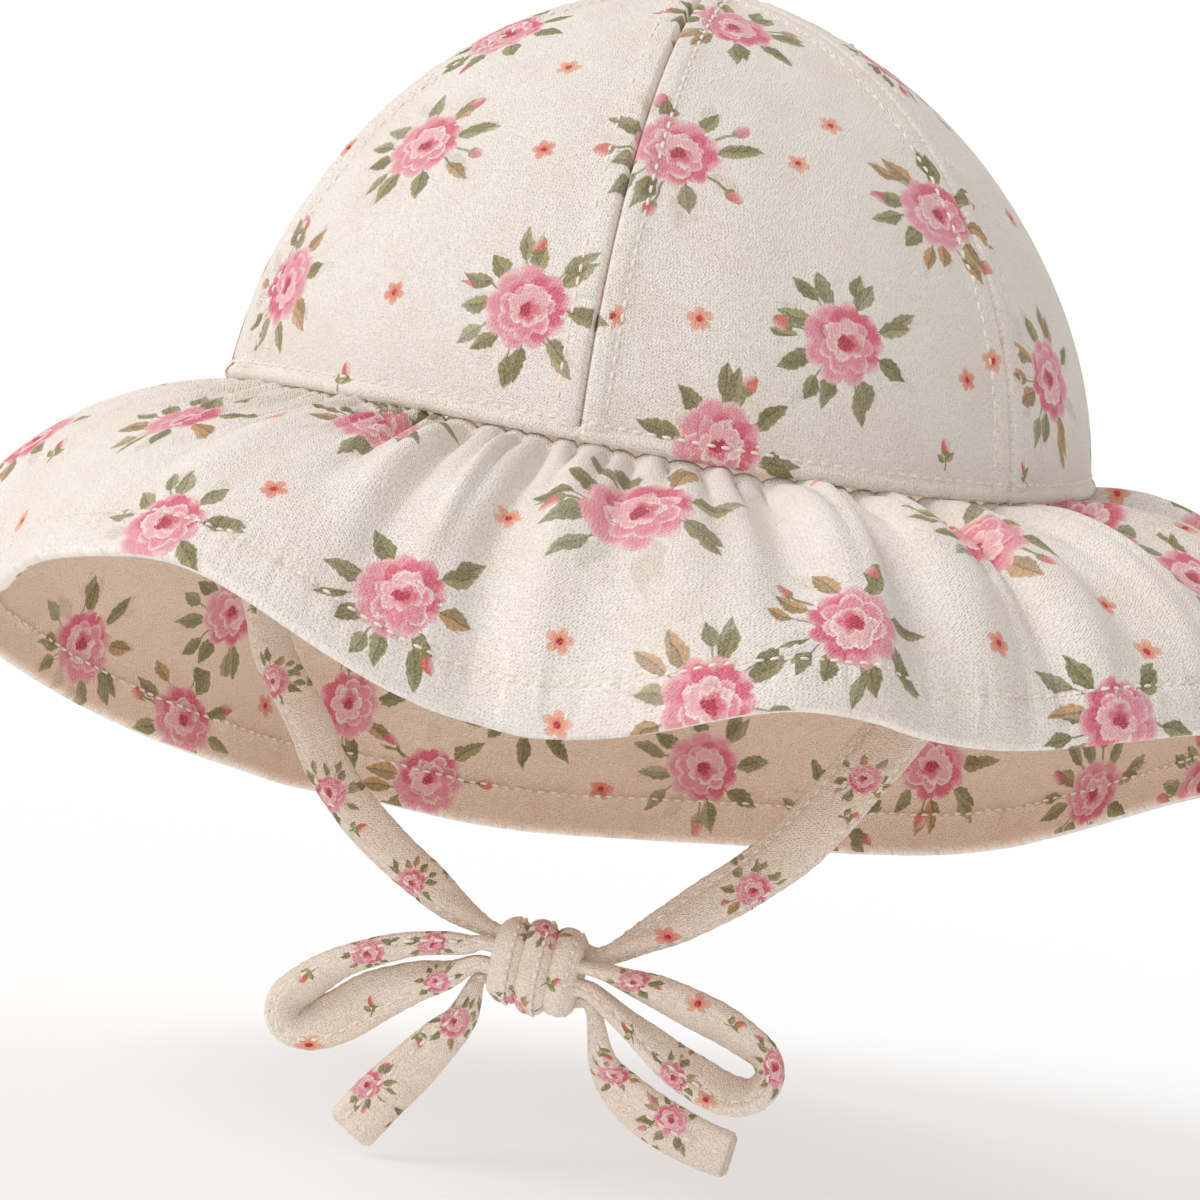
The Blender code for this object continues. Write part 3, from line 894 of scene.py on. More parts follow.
# The straps' and knot's cloth is the same print tinted warmer: painted warm shade, as they hang in
# the hat's shade
cloth_tie_warm_shade = make_cloth("tie_print_warm_shade", srgb(252, 238, 224), srgb(246, 224, 204))
cloth_lining = make_cloth("lining", LINING, GROUND_WARM, printed=False)
thread_cotton = make_thread()


# Crown


def seam_height(azimuth):
    """How the seam between crown and brim rises and dips round the head."""
    return -SEAM_WARP * np.sin(2 * azimuth)


def crown_base(azimuth, climb):
    """The crown's plain outer face."""
    angle = climb * math.pi / 2
    radius = SEAM_RADIUS * np.maximum(np.cos(angle), 1e-9) ** CROWN_FULLNESS
    height = CROWN_HEIGHT * np.sin(angle) ** CROWN_FULLNESS + seam_height(azimuth) * (1 - climb)
    middle = (1 - np.cos(PANEL_COUNT * azimuth)) / 2
    radius = radius - PANEL_SAG * middle * np.sin(math.pi * climb) ** 2
    return on_axis(radius, azimuth, height)


def crown_relief(azimuth, climb, radius, rise):
    """How far the cloth stands off the plain crown. The rise is the way up from the seam."""
    to_seam = from_panel_seam(azimuth, radius)
    high = smooth(0.99, 0.90, climb)
    waver = rippled(PUCKERS, azimuth * 0.2 + rise * 9, rise)
    relief = 0.70 * smooth(5.6, 4.0, to_seam / MM)
    relief -= 1.9 * bell(to_seam, 0, 0.42 * MM)
    relief -= 0.52 * bell(to_seam, SEAM_STITCH_DISTANCE, 0.55 * MM) * (1 + 0.4 * waver)
    tucks = np.sin(2 * math.pi * rise / (4.9 * MM) + 3 * waver)
    relief += 0.13 * tucks * bell(to_seam, SEAM_STITCH_DISTANCE, 3.0 * MM)
    relief *= high
    base_waver = rippled(PUCKERS, azimuth, rise)
    relief -= 0.32 * bell(rise, BASE_STITCH_HEIGHT, 0.5 * MM) * (1 + 0.4 * base_waver)
    relief += 0.30 * smooth(0.0, 1.2, rise / MM) * smooth(3.7, 2.4, rise / MM)
    relief += 0.16 * base_waver * bell(rise, BASE_STITCH_HEIGHT, 3.0 * MM)
    relief += 0.55 * rippled(SOFT_DENTS, azimuth, rise) * smooth(0, 14, rise / MM) * high
    relief += 0.17 * rippled(CRUMPLES, azimuth, rise) * smooth(0, 6, rise / MM) * high
    return relief * MM


def surface_normals(points, outward):
    """Unit normals of a grid of points, on the outward side."""
    across = np.gradient(points, axis=0)
    up = np.gradient(points, axis=1)
    normals = unit(np.cross(across, up))
    flip = np.sign((normals * outward).sum(-1, keepdims=True))
    return normals * np.where(flip == 0, 1, flip)


def crown_sheet(azimuth, climb):
    """A grid of the crown's dressed outer face, with its plain normals."""
    azimuth, climb = np.broadcast_arrays(azimuth, climb)
    plain = crown_base(azimuth, climb)
    outward = plain / np.linalg.norm(plain, axis=-1, keepdims=True)
    step = 1e-4
    across = crown_base(azimuth + step, climb) - crown_base(azimuth - step, climb)
    up = crown_base(azimuth, np.minimum(climb + step, 0.9999)) - crown_base(azimuth, climb - step)
    normals = unit(np.cross(across, up))
    normals = normals * np.sign((normals * outward).sum(-1, keepdims=True))
    radius = np.hypot(plain[..., 0], plain[..., 1])
    rise = climb * CROWN_ARC
    points = plain + normals * crown_relief(azimuth, climb, radius, rise)[..., None]
    return points, normals, rise


_arc = crown_base(np.full(400, 0.3), np.linspace(0, 1, 400))
CROWN_ARC = np.linalg.norm(np.diff(_arc, axis=0), axis=1).sum()

PANEL_COLUMNS = 76
PANEL_ROWS = 78
LOW_RISES = np.array([0.2, 0.7, 1.2, 1.6, 2.0, 2.3, 2.5, 2.7, 3.0, 3.5, 4.3, 5.5]) * MM


def make_crown():
    """Six printed gores, turned in at their seams, with a plain inside."""
    top = 1 - 1.9 * MM / CROWN_ARC
    upper = np.linspace(LOW_RISES[-1] / CROWN_ARC, top, PANEL_ROWS - len(LOW_RISES) + 1)[1:]
    climbs = np.concatenate([LOW_RISES / CROWN_ARC, upper])
    share = np.linspace(-1, 1, PANEL_COLUMNS)
    share = np.sign(share) * (1 - (1 - np.abs(share)) ** 1.45)
    half = (1 + share) / 2
    for panel in range(PANEL_COUNT):
        azimuth = (panel + half * 0.9996 + 0.0002) * PANEL_SPACING
        outer, normals, rise = crown_sheet(azimuth[:, None], climbs[None, :])
        inner = crown_base(azimuth[:, None], climbs[None, :]) - normals * CROWN_WALL * 0.9
        columns, rows = outer.shape[:2]
        both = np.concatenate([outer, inner[:, ::-1]], axis=1)
        loop = 2 * rows
        faces = turned_out(grid_faces(columns, loop, close_rows=True), both, 0, normals[0, 0])
        quads = faces.tolist()
        for column in (0, columns - 1):
            start = column * loop
            end = start + loop - 1
            for row in range(rows - 1):
                quads.append([start + row, start + row + 1, end - 1 - row, end - row])
        materials = [cloth_crown, cloth_lining]
        piece = new_piece(f"gore_{panel + 1}", both, quads, materials)
        across = (azimuth[:, None] - azimuth.mean()) * np.hypot(both[..., 0], both[..., 1]) / MM
        climbed = np.concatenate([rise, rise[:, ::-1]], axis=1) / MM
        stamp(piece, crown_stamps, weave_places(across, climbed))
        inside = np.zeros(len(quads), np.int32)
        inside[: len(faces)] = np.minimum(faces[:, 0] % loop, faces[:, 2] % loop) >= rows
        piece.data.polygons.foreach_set("material_index", inside)
        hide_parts(f"crown_panel_{panel + 1}")


def crown_place(degrees, climb):
    """The point, normal and upward direction at a place of the crown."""
    azimuth = np.array([[math.radians(degrees)]])
    climb = np.array([[max(climb, 0.001)]])
    point, normal, _ = crown_sheet(azimuth, climb)
    upward = crown_base(azimuth, climb + 0.01) - crown_base(azimuth, climb)
    return point[0, 0], normal[0, 0], unit(upward[0, 0])


def crown_print():
    """Where the crown's flowers lie: the ones in the photograph first, then others round it."""
    rng = np.random.default_rng(21)
    stamps = []
    for kind, table in ((ROSE, CROWN_ROSES), (FLOWER, CROWN_FLOWERS), (SPRIG, CROWN_SPRIGS)):
        for degrees, climb, radius, turn in table:
            seed = rng.uniform(0.05, 0.95)
            stamps.append(make_stamp(*crown_place(degrees, climb), radius * MM, kind, turn, seed))
    places = [crown_place(rng.uniform(95, 300), rng.uniform(0.0, 0.95)) for _ in range(500)]
    scatter(stamps, places, CROWN_FILL, rng)
    return stamps


# Brim


def brim_base(azimuth, distance):
    """The brim's plain upper face: points, and the width there. Both arrays have one shape."""
    rows = np.array(BRIM_SECTIONS, float)[:, 1:]
    count = len(rows)
    place = np.mod(np.degrees(azimuth[:, 0]), 360) / (360 / count)
    index = np.floor(place).astype(int)
    share = (place - index)[:, None]
    p0, p1, p2, p3 = (rows[(index + step) % count] for step in (-1, 0, 1, 2))
    cube = 3 * p1 - p0 - 3 * p2 + p3
    square = 2 * p0 - 5 * p1 + 4 * p2 - p3
    found = p1 + 0.5 * share * ((p2 - p0) + share * (square + share * cube))
    extra, root, hem = found.T
    width = BRIM_FRONT_WIDTH + extra * (BRIM_BACK_WIDTH - BRIM_FRONT_WIDTH)
    lift = 0
    for centre, half_width, size in BRIM_FOLDS:
        away = degrees_away(azimuth[:, 0], centre)
        lift = lift + size * np.exp(-((away / half_width) ** 2))
    root = np.radians(root)
    bend = np.radians(hem) - lift * FOLD_SWING - root
    steps = 240
    mid = (np.arange(steps) + 0.5) / steps
    droop = root[:, None] + bend[:, None] * mid**BRIM_CURL
    start = np.zeros((len(root), 1))
    at = np.clip(distance(width) / width[:, None], 0, 1) * steps
    low = np.minimum(np.floor(at).astype(int), steps - 1)
    part = at - low
    line = np.arange(len(root))[:, None]
    walked = []
    for slopes in (np.cos(droop), np.sin(droop)):
        summed = np.concatenate([start, np.cumsum(slopes, axis=1)], axis=1)
        summed = summed * width[:, None] / steps
        walked.append(summed[line, low] * (1 - part) + summed[line, low + 1] * part)
    out, down = walked
    height = seam_height(azimuth) - (PIPING_RADIUS + GAP) - down
    return on_axis(SEAM_RADIUS + out, azimuth + 0 * out, height), width


def gather_table():
    """Where each gather starts round the seam, its height and its reach."""
    rng = np.random.default_rng(14)
    starts = [0.0]
    while starts[-1] < 2 * math.pi:
        fine = FINE_GATHERS[0] < math.degrees(starts[-1]) < FINE_GATHERS[1]
        width = rng.uniform(*(FINE_GATHER_WIDTHS if fine else GATHER_WIDTHS))
        starts.append(starts[-1] + width * MM / SEAM_RADIUS)
    starts = np.array(starts) * 2 * math.pi / starts[-1]
    count = len(starts) - 1
    heights = rng.uniform(*GATHER_SPREAD, count)
    reaches = rng.uniform(*GATHER_REACHES, count)
    long_ones = rng.random(count) < 0.2
    reaches[long_ones] *= 1.6
    short_ones = (starts[:-1] > math.radians(300)) & (starts[:-1] < math.radians(340))
    reaches[short_ones] *= 0.6
    heights[short_ones] *= 1.3
    return starts, heights, reaches


GATHERS = gather_table()


def brim_relief(azimuth, distance, width):
    """How far the cloth stands off the plain brim: gathers, folds, hem and crumples."""
    starts, heights, reaches = GATHERS
    drift = 0.012 * np.sin(9 * azimuth + distance * 40) * smooth(2, 25, distance / MM)
    turned = np.mod(azimuth + drift, 2 * math.pi)
    index = np.clip(np.searchsorted(starts, turned, side="right") - 1, 0, len(heights) - 1)
    share = (turned - starts[index]) / (starts[index + 1] - starts[index])
    roundness = 0.55 + np.clip(distance / (22 * MM), 0, 1) * 0.9
    lobe = np.sin(math.pi * np.clip(share, 0, 1)) ** roundness
    spread = (starts[index + 1] - starts[index]) * SEAM_RADIUS / (5.4 * MM)
    start = smooth(-1.2, 1.3, distance / MM)
    reach = reaches[index] * MM
    tall = GATHER_HEIGHT * heights[index] * spread**0.5
    relief = tall * lobe * np.exp(-((distance / reach) ** 1.4))
    relief = (relief - GATHER_SINK * np.exp(-((distance / GATHER_SINK_REACH) ** 1.4))) * start
    share = distance / width
    for degrees, half_width, size, near, far in SOFT_FOLDS:
        fold = 1.6 * size * bell(degrees_away(azimuth, degrees), 0, half_width)
        fold = fold * smooth(near - 0.12, near + 0.12, share)
        relief += fold * smooth(far + 0.2, far - 0.15, share)
    from_hem = width - distance
    waver = rippled(PUCKERS, azimuth, distance * 0.2)
    relief -= 0.55 * bell(from_hem, HEM_BAND, 0.55 * MM) * (1 + 0.4 * waver)
    relief += 0.45 * smooth(9.4, 7.4, from_hem / MM)
    tucks = np.sin(150 * azimuth + 3 * waver) + 0.7 * rippled(FINE_CRUMPLES, azimuth, distance)
    relief += 0.25 * tucks * bell(from_hem, HEM_BAND * 0.9, 4.5 * MM)
    wrinkle = smooth(2, 12, distance / MM)
    relief += 0.45 * rippled(SOFT_DENTS, azimuth * 2, distance) * wrinkle
    relief += 0.20 * rippled(CRUMPLES, azimuth, distance) * wrinkle
    relief += 0.05 * rippled(FINE_CRUMPLES, azimuth, distance) * wrinkle
    for side in (90, 270):
        angle = degrees_away(azimuth, side) * math.pi / 180
        away = angle * (SEAM_RADIUS + distance * 0.5)
        relief = relief - 0.8 * bell(away, 0, 0.5 * MM) + 0.3 * bell(away, 0, 4 * MM)
    return relief * MM


# Soft folds that run down the brim: azimuth, half width, height in mm, and the shares of
# the way to the hem between which they show
SOFT_FOLDS = (
    (-58, 3.5, 0.9, 0.1, 0.6),
    (-46, 3.5, -0.7, 0.1, 0.7),
    (-36, 3.0, -0.7, 0.05, 0.6),
    (-30, 3.6, 1.0, 0.05, 0.75),
    (-19.5, 2.0, -0.9, 0.04, 0.5),
    (-15.5, 1.8, 0.8, 0.04, 0.55),
    (-11.5, 2.3, -1.5, 0.05, 0.8),
    (-7.8, 1.8, 1.1, 0.05, 0.65),
    (-3, 2.5, -1.7, 0.07, 0.9),
    (2.5, 2.6, 1.1, 0.05, 0.95),
    (6.5, 1.5, -0.7, 0.04, 0.4),
    (12, 3.0, 0.8, 0.05, 0.9),
    (17.5, 1.8, -0.8, 0.04, 0.5),
    (22, 2.2, -1.7, 0.05, 0.7),
    (27.5, 2.3, 1.4, 0.05, 0.9),
    (32.5, 2.2, -1.7, 0.05, 0.8),
    (38, 2.6, 1.2, 0.05, 0.9),
    (43.5, 2.2, -1.6, 0.05, 0.8),
    (48.5, 2.2, 1.2, 0.05, 0.9),
    (53.5, 2.4, -1.4, 0.05, 0.75),
    (60, 3.0, 1.1, 0.05, 0.8),
    (68, 3.0, -1.0, 0.05, 0.6),
    (78, 3.5, 0.9, 0.05, 0.8),
    (92, 3.5, -0.8, 0.05, 0.6),
    (102, 4.0, 0.9, 0.05, 0.8),
    (118, 4.0, -0.9, 0.1, 0.8),
    (139, 5.0, 1.0, 0.05, 0.7),
    (160, 4.0, -0.8, 0.1, 0.9),
    (183, 5.0, 0.9, 0.1, 0.8),
    (204, 4.0, -0.9, 0.1, 0.7),
    (226, 5.0, 1.0, 0.1, 0.9),
    (247, 4.0, -0.8, 0.1, 0.7),
    (266, 4.0, 0.9, 0.1, 0.7),
    (284, 3.0, -0.9, 0.1, 0.6),
)

BRIM_COLUMNS = 1040
ROOT_ROWS = (0, 0.5, 1.0, 1.6, 2.3, 3.1, 4.0, 5.1, 6.4, 7.9, 9.6, 11.5, 13.6, 16, 18.8, 22)
HEM_ROWS = (11.5, 10, 9.2, 8.6, 8.2, 7.8, 7.4, 6.8, 5.8, 4.6, 3.2, 2.0, 1.1, 0.5)
ROOT_DISTANCES = np.array(ROOT_ROWS) * MM
HEM_DISTANCES = np.array(HEM_ROWS) * MM
MIDDLE_ROWS = 17
UNDER_ROWS = [*range(46, 32, -1), *range(31, 16, -2), 15, 12, 9, 6, 3, 0]


def brim_distances(width):
    """The rows' distances from the seam, closest near the seam and the hem."""
    width = width[:, None]
    low = ROOT_DISTANCES[-1]
    high = width - HEM_DISTANCES[0]
    shares = np.linspace(0, 1, MIDDLE_ROWS + 2)[None, 1:-1]
    start = np.broadcast_to(ROOT_DISTANCES, (len(width), len(ROOT_DISTANCES)))
    return np.concatenate([start, low + (high - low) * shares, width - HEM_DISTANCES], axis=1)


def brim_sheet():
    """The dressed brim's upper and lower faces as grids, with normals and distances."""
    azimuth = circle(BRIM_COLUMNS)[:, None]
    plain, width = brim_base(azimuth, brim_distances)
    distance = brim_distances(width)
    wrapped = np.concatenate([plain[-2:], plain, plain[:2]])
    upward = np.zeros_like(wrapped)
    upward[..., 2] = 1
    upward[..., :2] = wrapped[..., :2] / SEAM_RADIUS
    normals = surface_normals(wrapped, upward)[2:-2]
    relief = brim_relief(azimuth + 0 * distance, distance, width[:, None])
    upper = plain + normals * relief[..., None]
    from_hem = width[:, None] - distance
    wall = BRIM_WALL * (0.85 + 0.60 * smooth(9.0, 7.0, from_hem / MM))
    lower = upper - normals * wall[..., None]
    return azimuth, upper, lower, normals, distance, width, wall


def make_brim():
    """One closed sheet: printed above and below, with a rounded hem and a tucked root."""
    azimuth, upper, lower, normals, distance, width, wall = brim_sheet()
    run = unit(upper[:, -1] - upper[:, -2])
    edge = []
    middle = (upper[:, -1] + lower[:, -1]) / 2
    half = wall[:, -1:] / 2
    for turn in (50, 20, -20, -50):
        angle = math.radians(turn)
        rise = normals[:, -1] * half * math.sin(angle)
        edge.append(middle + rise + run * half * math.cos(angle))
    edge = np.stack(edge, axis=1)
    tuck = upper[:, :1] - on_axis(np.full(BRIM_COLUMNS, 1.0 * MM), azimuth[:, 0], 0)[:, None]
    tuck[..., 2] += 0.5 * MM
    points = np.concatenate([tuck, upper, edge, lower[:, UNDER_ROWS]], axis=1)
    columns, rows = points.shape[:2]
    faces = grid_faces(columns, rows, close_columns=True, close_rows=True)
    faces = turned_out(faces, points, 1, normals[0, 0])
    # The underside takes the copy of the cloth tinted as painted warm shade
    materials = [cloth_brim, cloth_under_painted_shade]
    piece = new_piece("brim", points, faces, materials, tidy=False)
    top_rows = 1 + upper.shape[1] + 2
    low = np.minimum(faces[:, 0] % rows, faces[:, 2] % rows)
    low = np.where(np.abs(faces[:, 0] % rows - faces[:, 2] % rows) > 2, rows, low)
    under = low >= top_rows
    piece.data.polygons.foreach_set("material_index", under.astype(np.int32))
    hem = width[:, None]
    along = [0 * hem, distance, np.repeat(hem, 4, 1), distance[:, UNDER_ROWS]]
    threads = weave_places(azimuth * BRIM_WEAVE_RADIUS, np.concatenate(along, 1) / MM)
    places = {
        "upper": upper, "lower": lower, "normals": normals, "distance": distance, "width": width,
    }
    stamp(piece, brim_print(places), threads, 2 * math.pi * BRIM_WEAVE_RADIUS)
    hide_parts("brim_front", "brim_back")
    return piece, places


def brim_place(places, degrees, share, lower=False):
    """The point, normal and inward direction at a place of the dressed brim."""
    column = round(degrees / 360 * BRIM_COLUMNS) % BRIM_COLUMNS
    reach = places["distance"][column] / places["width"][column]
    row = int(np.clip(np.searchsorted(reach, share), 1, len(reach) - 1))
    grid = places["lower" if lower else "upper"]
    normal = places["normals"][column, row] * (-1 if lower else 1)
    return grid[column, row], normal, unit(grid[column, row - 1] - grid[column, row])


def brim_print(places):
    """Where the flowers lie on the brim, above and below."""
    rng = np.random.default_rng(33)
    stamps = []
    for lower, tables in (
        (False, ((ROSE, BRIM_ROSES), (FLOWER, BRIM_FLOWERS), (SPRIG, BRIM_SPRIGS))),
        (True, ((ROSE, UNDER_ROSES), (FLOWER, UNDER_FLOWERS))),
    ):
        for kind, table in tables:
            for degrees, share, radius, turn in table:
                found = brim_place(places, degrees, share, lower)
                stamps.append(make_stamp(*found, radius * MM, kind, turn, rng.uniform(0.05, 0.95)))
    found = []
    for count, near, far, high, lower in ((900, 80, 300, 0.02, False), (1400, 0, 360, 0.15, True)):
        found.append([
            brim_place(places, rng.uniform(near, far), rng.uniform(high, 1.0), lower)
            for _ in range(count)
        ])
    for candidates in found:
        scatter(stamps, candidates, BRIM_FILL, rng)
    return stamps


# Piping and button


def make_piping():
    """The rolled piping, creased where the crown's seams meet it."""
    columns, sides = 720, 14
    azimuth = circle(columns)[:, None]
    angle = np.linspace(math.pi, 3 * math.pi, sides, endpoint=False)[None, :]
    to_seam = from_panel_seam(azimuth, SEAM_RADIUS)
    crease = 0.22 * bell(to_seam, 0, 0.4 * MM) + 0.12 * bell(to_seam, 4.6 * MM, 0.5 * MM)
    twist = 0.05 * np.sin(140 * azimuth + 2 * angle)
    twist = twist + 0.05 * rippled(FINE_CRUMPLES, azimuth, 0 * angle)
    tube = PIPING_RADIUS * (1.12 - crease + 0.6 * twist)
    middle = SEAM_RADIUS + PIPING_PROUD - PIPING_RADIUS
    radius = middle + tube * np.cos(angle)
    height = seam_height(azimuth) + tube * 1.05 * np.sin(angle)
    points = on_axis(radius, azimuth + 0 * angle, height)
    faces = grid_faces(columns, sides, close_columns=True, close_rows=True)
    piece = new_piece("piping", points, faces, [cloth_crown])
    threads = weave_places(azimuth * SEAM_RADIUS / MM, angle * PIPING_RADIUS / MM)
    stamp(piece, crown_stamps, threads, 2 * math.pi * SEAM_RADIUS / MM)
    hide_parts("seam_piping")


def make_button():
    """The covered button on top, with the cloth's small pleats towards its edge."""
    columns, rows = 64, 14
    azimuth = circle(columns)[:, None]
    climb = np.linspace(0, 1, rows)[None, :]
    angle = (climb * 1.16 - 0.16) * math.pi / 2
    pleats = 0.02 * np.sin(16 * azimuth + np.sin(3 * azimuth)) * (1 - climb) ** 2
    radius = BUTTON_RADIUS * np.maximum(np.cos(angle), 0.02) * (1 + pleats)
    height = CROWN_HEIGHT + GAP - 0.4 * MM + (BUTTON_HEIGHT + 0.4 * MM) * np.sin(angle)
    points = on_axis(radius, azimuth + 0 * angle, height)
    faces = grid_faces(columns, rows, close_columns=True).tolist()
    faces.append([column * rows for column in range(columns)][::-1])
    faces.append([column * rows + rows - 1 for column in range(columns)])
    piece = new_piece("button_cover", points, faces, [cloth_lining])
    threads = (points / MM).reshape(-1, 3)[corner_points(piece.data)]
    add_corner_vectors(piece.data, "thread", threads)
    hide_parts("crown_button")


# Straps and knot


def catmull_rom(before, start, end, after, share):
    """A row of four, carried smoothly from start to end."""
    linear = end - before
    square = 2 * before - 5 * start + 4 * end - after
    cube = 3 * start - before - 3 * end + after
    return start + 0.5 * share * (linear + share * (square + share * cube))


def tie_top(side):
    """The sewn end of a tie, inside the crown wall at the ear."""
    thickness_share = 0.62
    wall = math.sqrt((SEAM_RADIUS - CROWN_WALL) ** 2 - (TIE_WIDTH / 2) ** 2)
    x = wall - 2 * GAP - thickness_share * TIE_THICKNESS / 2
    return (side * x, 0.0, TIE_TUCK, 1.0, thickness_share, 0)


def knot_port(side, port):
    """Two rows of a route, straight out of the knot's left (-1) or right (1) end."""
    depth_share, height_share = PORTS[port]
    lean = Matrix.Rotation(KNOT_LEAN, 3, "Y")
    rows = []
    for lead in (-1.2 * MM, PORT_LEAD):
        x = side * (KNOT_LENGTH / 2 + GAP + lead)
        local = Vector((x, depth_share * KNOT_DEPTH / 2, height_share * KNOT_HEIGHT / 2))
        place = Vector(KNOT_CENTRE) + lean @ local
        rows.append((*place, PORT_WIDTH_SHARE, PORT_THICKNESS_SHARE, 0))
    return rows


def smooth_route(route, spacing):
    """Rows along a smooth curve through the route's rows, evenly spaced."""
    rows = np.array([route[0], *route, route[-1]], float)
    dense = []
    for index in range(1, len(rows) - 2):
        for share in np.linspace(0, 1, 16, endpoint=False):
            dense.append(catmull_rom(*rows[index - 1 : index + 3], share))
    dense.append(rows[-1])
    dense = np.array(dense)
    arc = arc_of(dense[:, :3])
    count = max(8, round(arc[-1] / spacing))
    at = np.linspace(0, arc[-1], count + 1)
    return rows_at(at, arc, dense), at


def strap_frames(rows):
    """The run, the wide and the thick direction at each row of a strap."""
    points = rows[:, :3]
    run = unit(np.gradient(points, axis=0))
    depth = np.array([0.0, 1.0, 0.0])
    wide = unit(depth - run * (run @ depth)[:, None])
    turn = np.radians(rows[:, 5])[:, None]
    wide = wide * np.cos(turn) + np.cross(run, wide) * np.sin(turn)
    return run, wide, np.cross(run, wide)


STRAP_SIDES = 30
STRAP_PLUMPNESS = 0.32


def tube_faces(rings, sides):
    """The quads round a tube, and its two end faces."""
    faces = grid_faces(rings, sides, close_rows=True).tolist()
    faces.append(list(range(sides))[::-1])
    faces.append([(rings - 1) * sides + side for side in range(sides)])
    return faces


def hidden_turn(start, end, side):
    """The strap's turn inside the knot, between two of the stretches that show."""
    inward = np.array([-side * math.cos(KNOT_LEAN), 0, side * math.sin(KNOT_LEAN)]) * MM
    middle = (start + end) / 2 + inward * 4.4
    route = [start - inward, start + inward * 2.2, middle, end + inward * 2.2, end - inward]
    rows, _ = smooth_route([(*point, 0.2, 0.6, 0) for point in route], 0.8 * MM)
    run = unit(np.gradient(rows[:, :3], axis=0))
    wide = unit(np.cross(run, [0.0, 0.0, 1.0]))
    thick = np.cross(run, wide)
    angle = circle(8)[None, :, None]
    ring = wide[:, None] * np.cos(angle) + thick[:, None] * np.sin(angle)
    return rows[:, None, :3] + ring * 0.95 * MM, rows[:, :3]


def strap_stretch(node, route, seed, blunt, stitch_rows):
    """One stretch of a padded strap: rings, weave places, centres, stamps and stitch lines."""
    rows, at = smooth_route(route, 0.8 * MM)
    run, wide, thick = strap_frames(rows)
    count = len(rows)
    half = rows[:, 3] * TIE_WIDTH / 2
    deep = rows[:, 4] * TIE_THICKNESS / 2 * (1 + STRAP_PLUMPNESS * smooth(2, 9, at / MM))
    if blunt:
        end = np.clip((at[-1] - at) / (1.7 * MM), 0, 1)
        rounding = np.sqrt(1 - (1 - end) ** 2.6)
        half = half * (0.80 + 0.20 * rounding)
        deep = deep * (0.25 + 0.75 * rounding)
    angle = circle(STRAP_SIDES)[None, :]
    cosine, sine = np.cos(angle), np.sin(angle)
    x = np.sign(cosine) * np.abs(cosine) ** 0.76
    y = np.sign(sine) * np.abs(sine) ** 0.84
    rng = np.random.default_rng(seed)
    waves = rng.uniform(0, 6.28, 8)
    along = at[:, None] / MM
    waver = np.sin(along / 3.1 + waves[0]) + np.sin(along / 1.9 + waves[1] + 2 * x)
    # A row of stitches keeps to the side that faces the front, some radians off its middle
    sewn_at = [math.pi - np.radians(rows[:, 5]) + offset for offset in stitch_rows]
    groove = 0
    for place in sewn_at:
        off = np.mod(angle - place[:, None] + math.pi, 2 * math.pi) - math.pi
        groove = groove + bell(off, 0, 0.19) * (0.33 + 0.03 * waver)
    swell = 0.06 * np.sin(along / 5.3 + waves[2] + x)
    swell = swell + 0.04 * np.sin(along / 2.3 + waves[3] - 2 * x)
    tucks = 0.03 * np.sin(along * 2 * math.pi / 2.45 + 3 * np.sin(along / 4 + waves[4]))
    y = y * (1.06 + swell + tucks * np.abs(x)) - sine * groove
    x = x * (1 + 0.012 * waver + 0.35 * tucks) - cosine * groove * (deep / half)[:, None]
    points = (
        rows[:, None, :3]
        + wide[:, None] * (x * half[:, None])[..., None]
        + thick[:, None] * (y * deep[:, None])[..., None]
    )
    steps = np.linalg.norm(points - np.roll(points, 1, axis=1), axis=-1) / MM
    around = np.cumsum(steps, axis=1) - steps[:, :1]
    thread = weave_places(along + 50 * seed, around, steps.sum(axis=1, keepdims=True))
    stamps = []
    for kind, share, radius, across, turn in TIE_PRINTS[node]:
        index = int(share * (count - 1))
        front = points[index, :, 1].argmin()
        for back in (0, 1):
            corner = (front + back * STRAP_SIDES // 2) % STRAP_SIDES
            place = thread[index, corner, 1] + across * half[index] / MM
            seed_here = (share * 7.3 + 0.31 * back) % 0.9 + 0.05
            stamps.append((thread[index, 0, 0], place, radius, kind, turn, seed_here))
    stitches = []
    line_of = np.arange(count)
    for place in sewn_at:
        for turned in (place, place + math.pi):
            corner = np.mod(turned, 2 * math.pi) / (2 * math.pi) * STRAP_SIDES
            low = np.floor(corner).astype(int) % STRAP_SIDES
            part = (corner - np.floor(corner))[:, None]
            high = (low + 1) % STRAP_SIDES
            line = points[line_of, low] * (1 - part) + points[line_of, high] * part
            normal = unit(
                wide * (np.cos(turned) * deep)[:, None] + thick * (np.sin(turned) * half)[:, None]
            )
            stitches.append((line[2:-2], normal[2:-2]))
    return points, thread, rows[:, :3], stamps, stitches


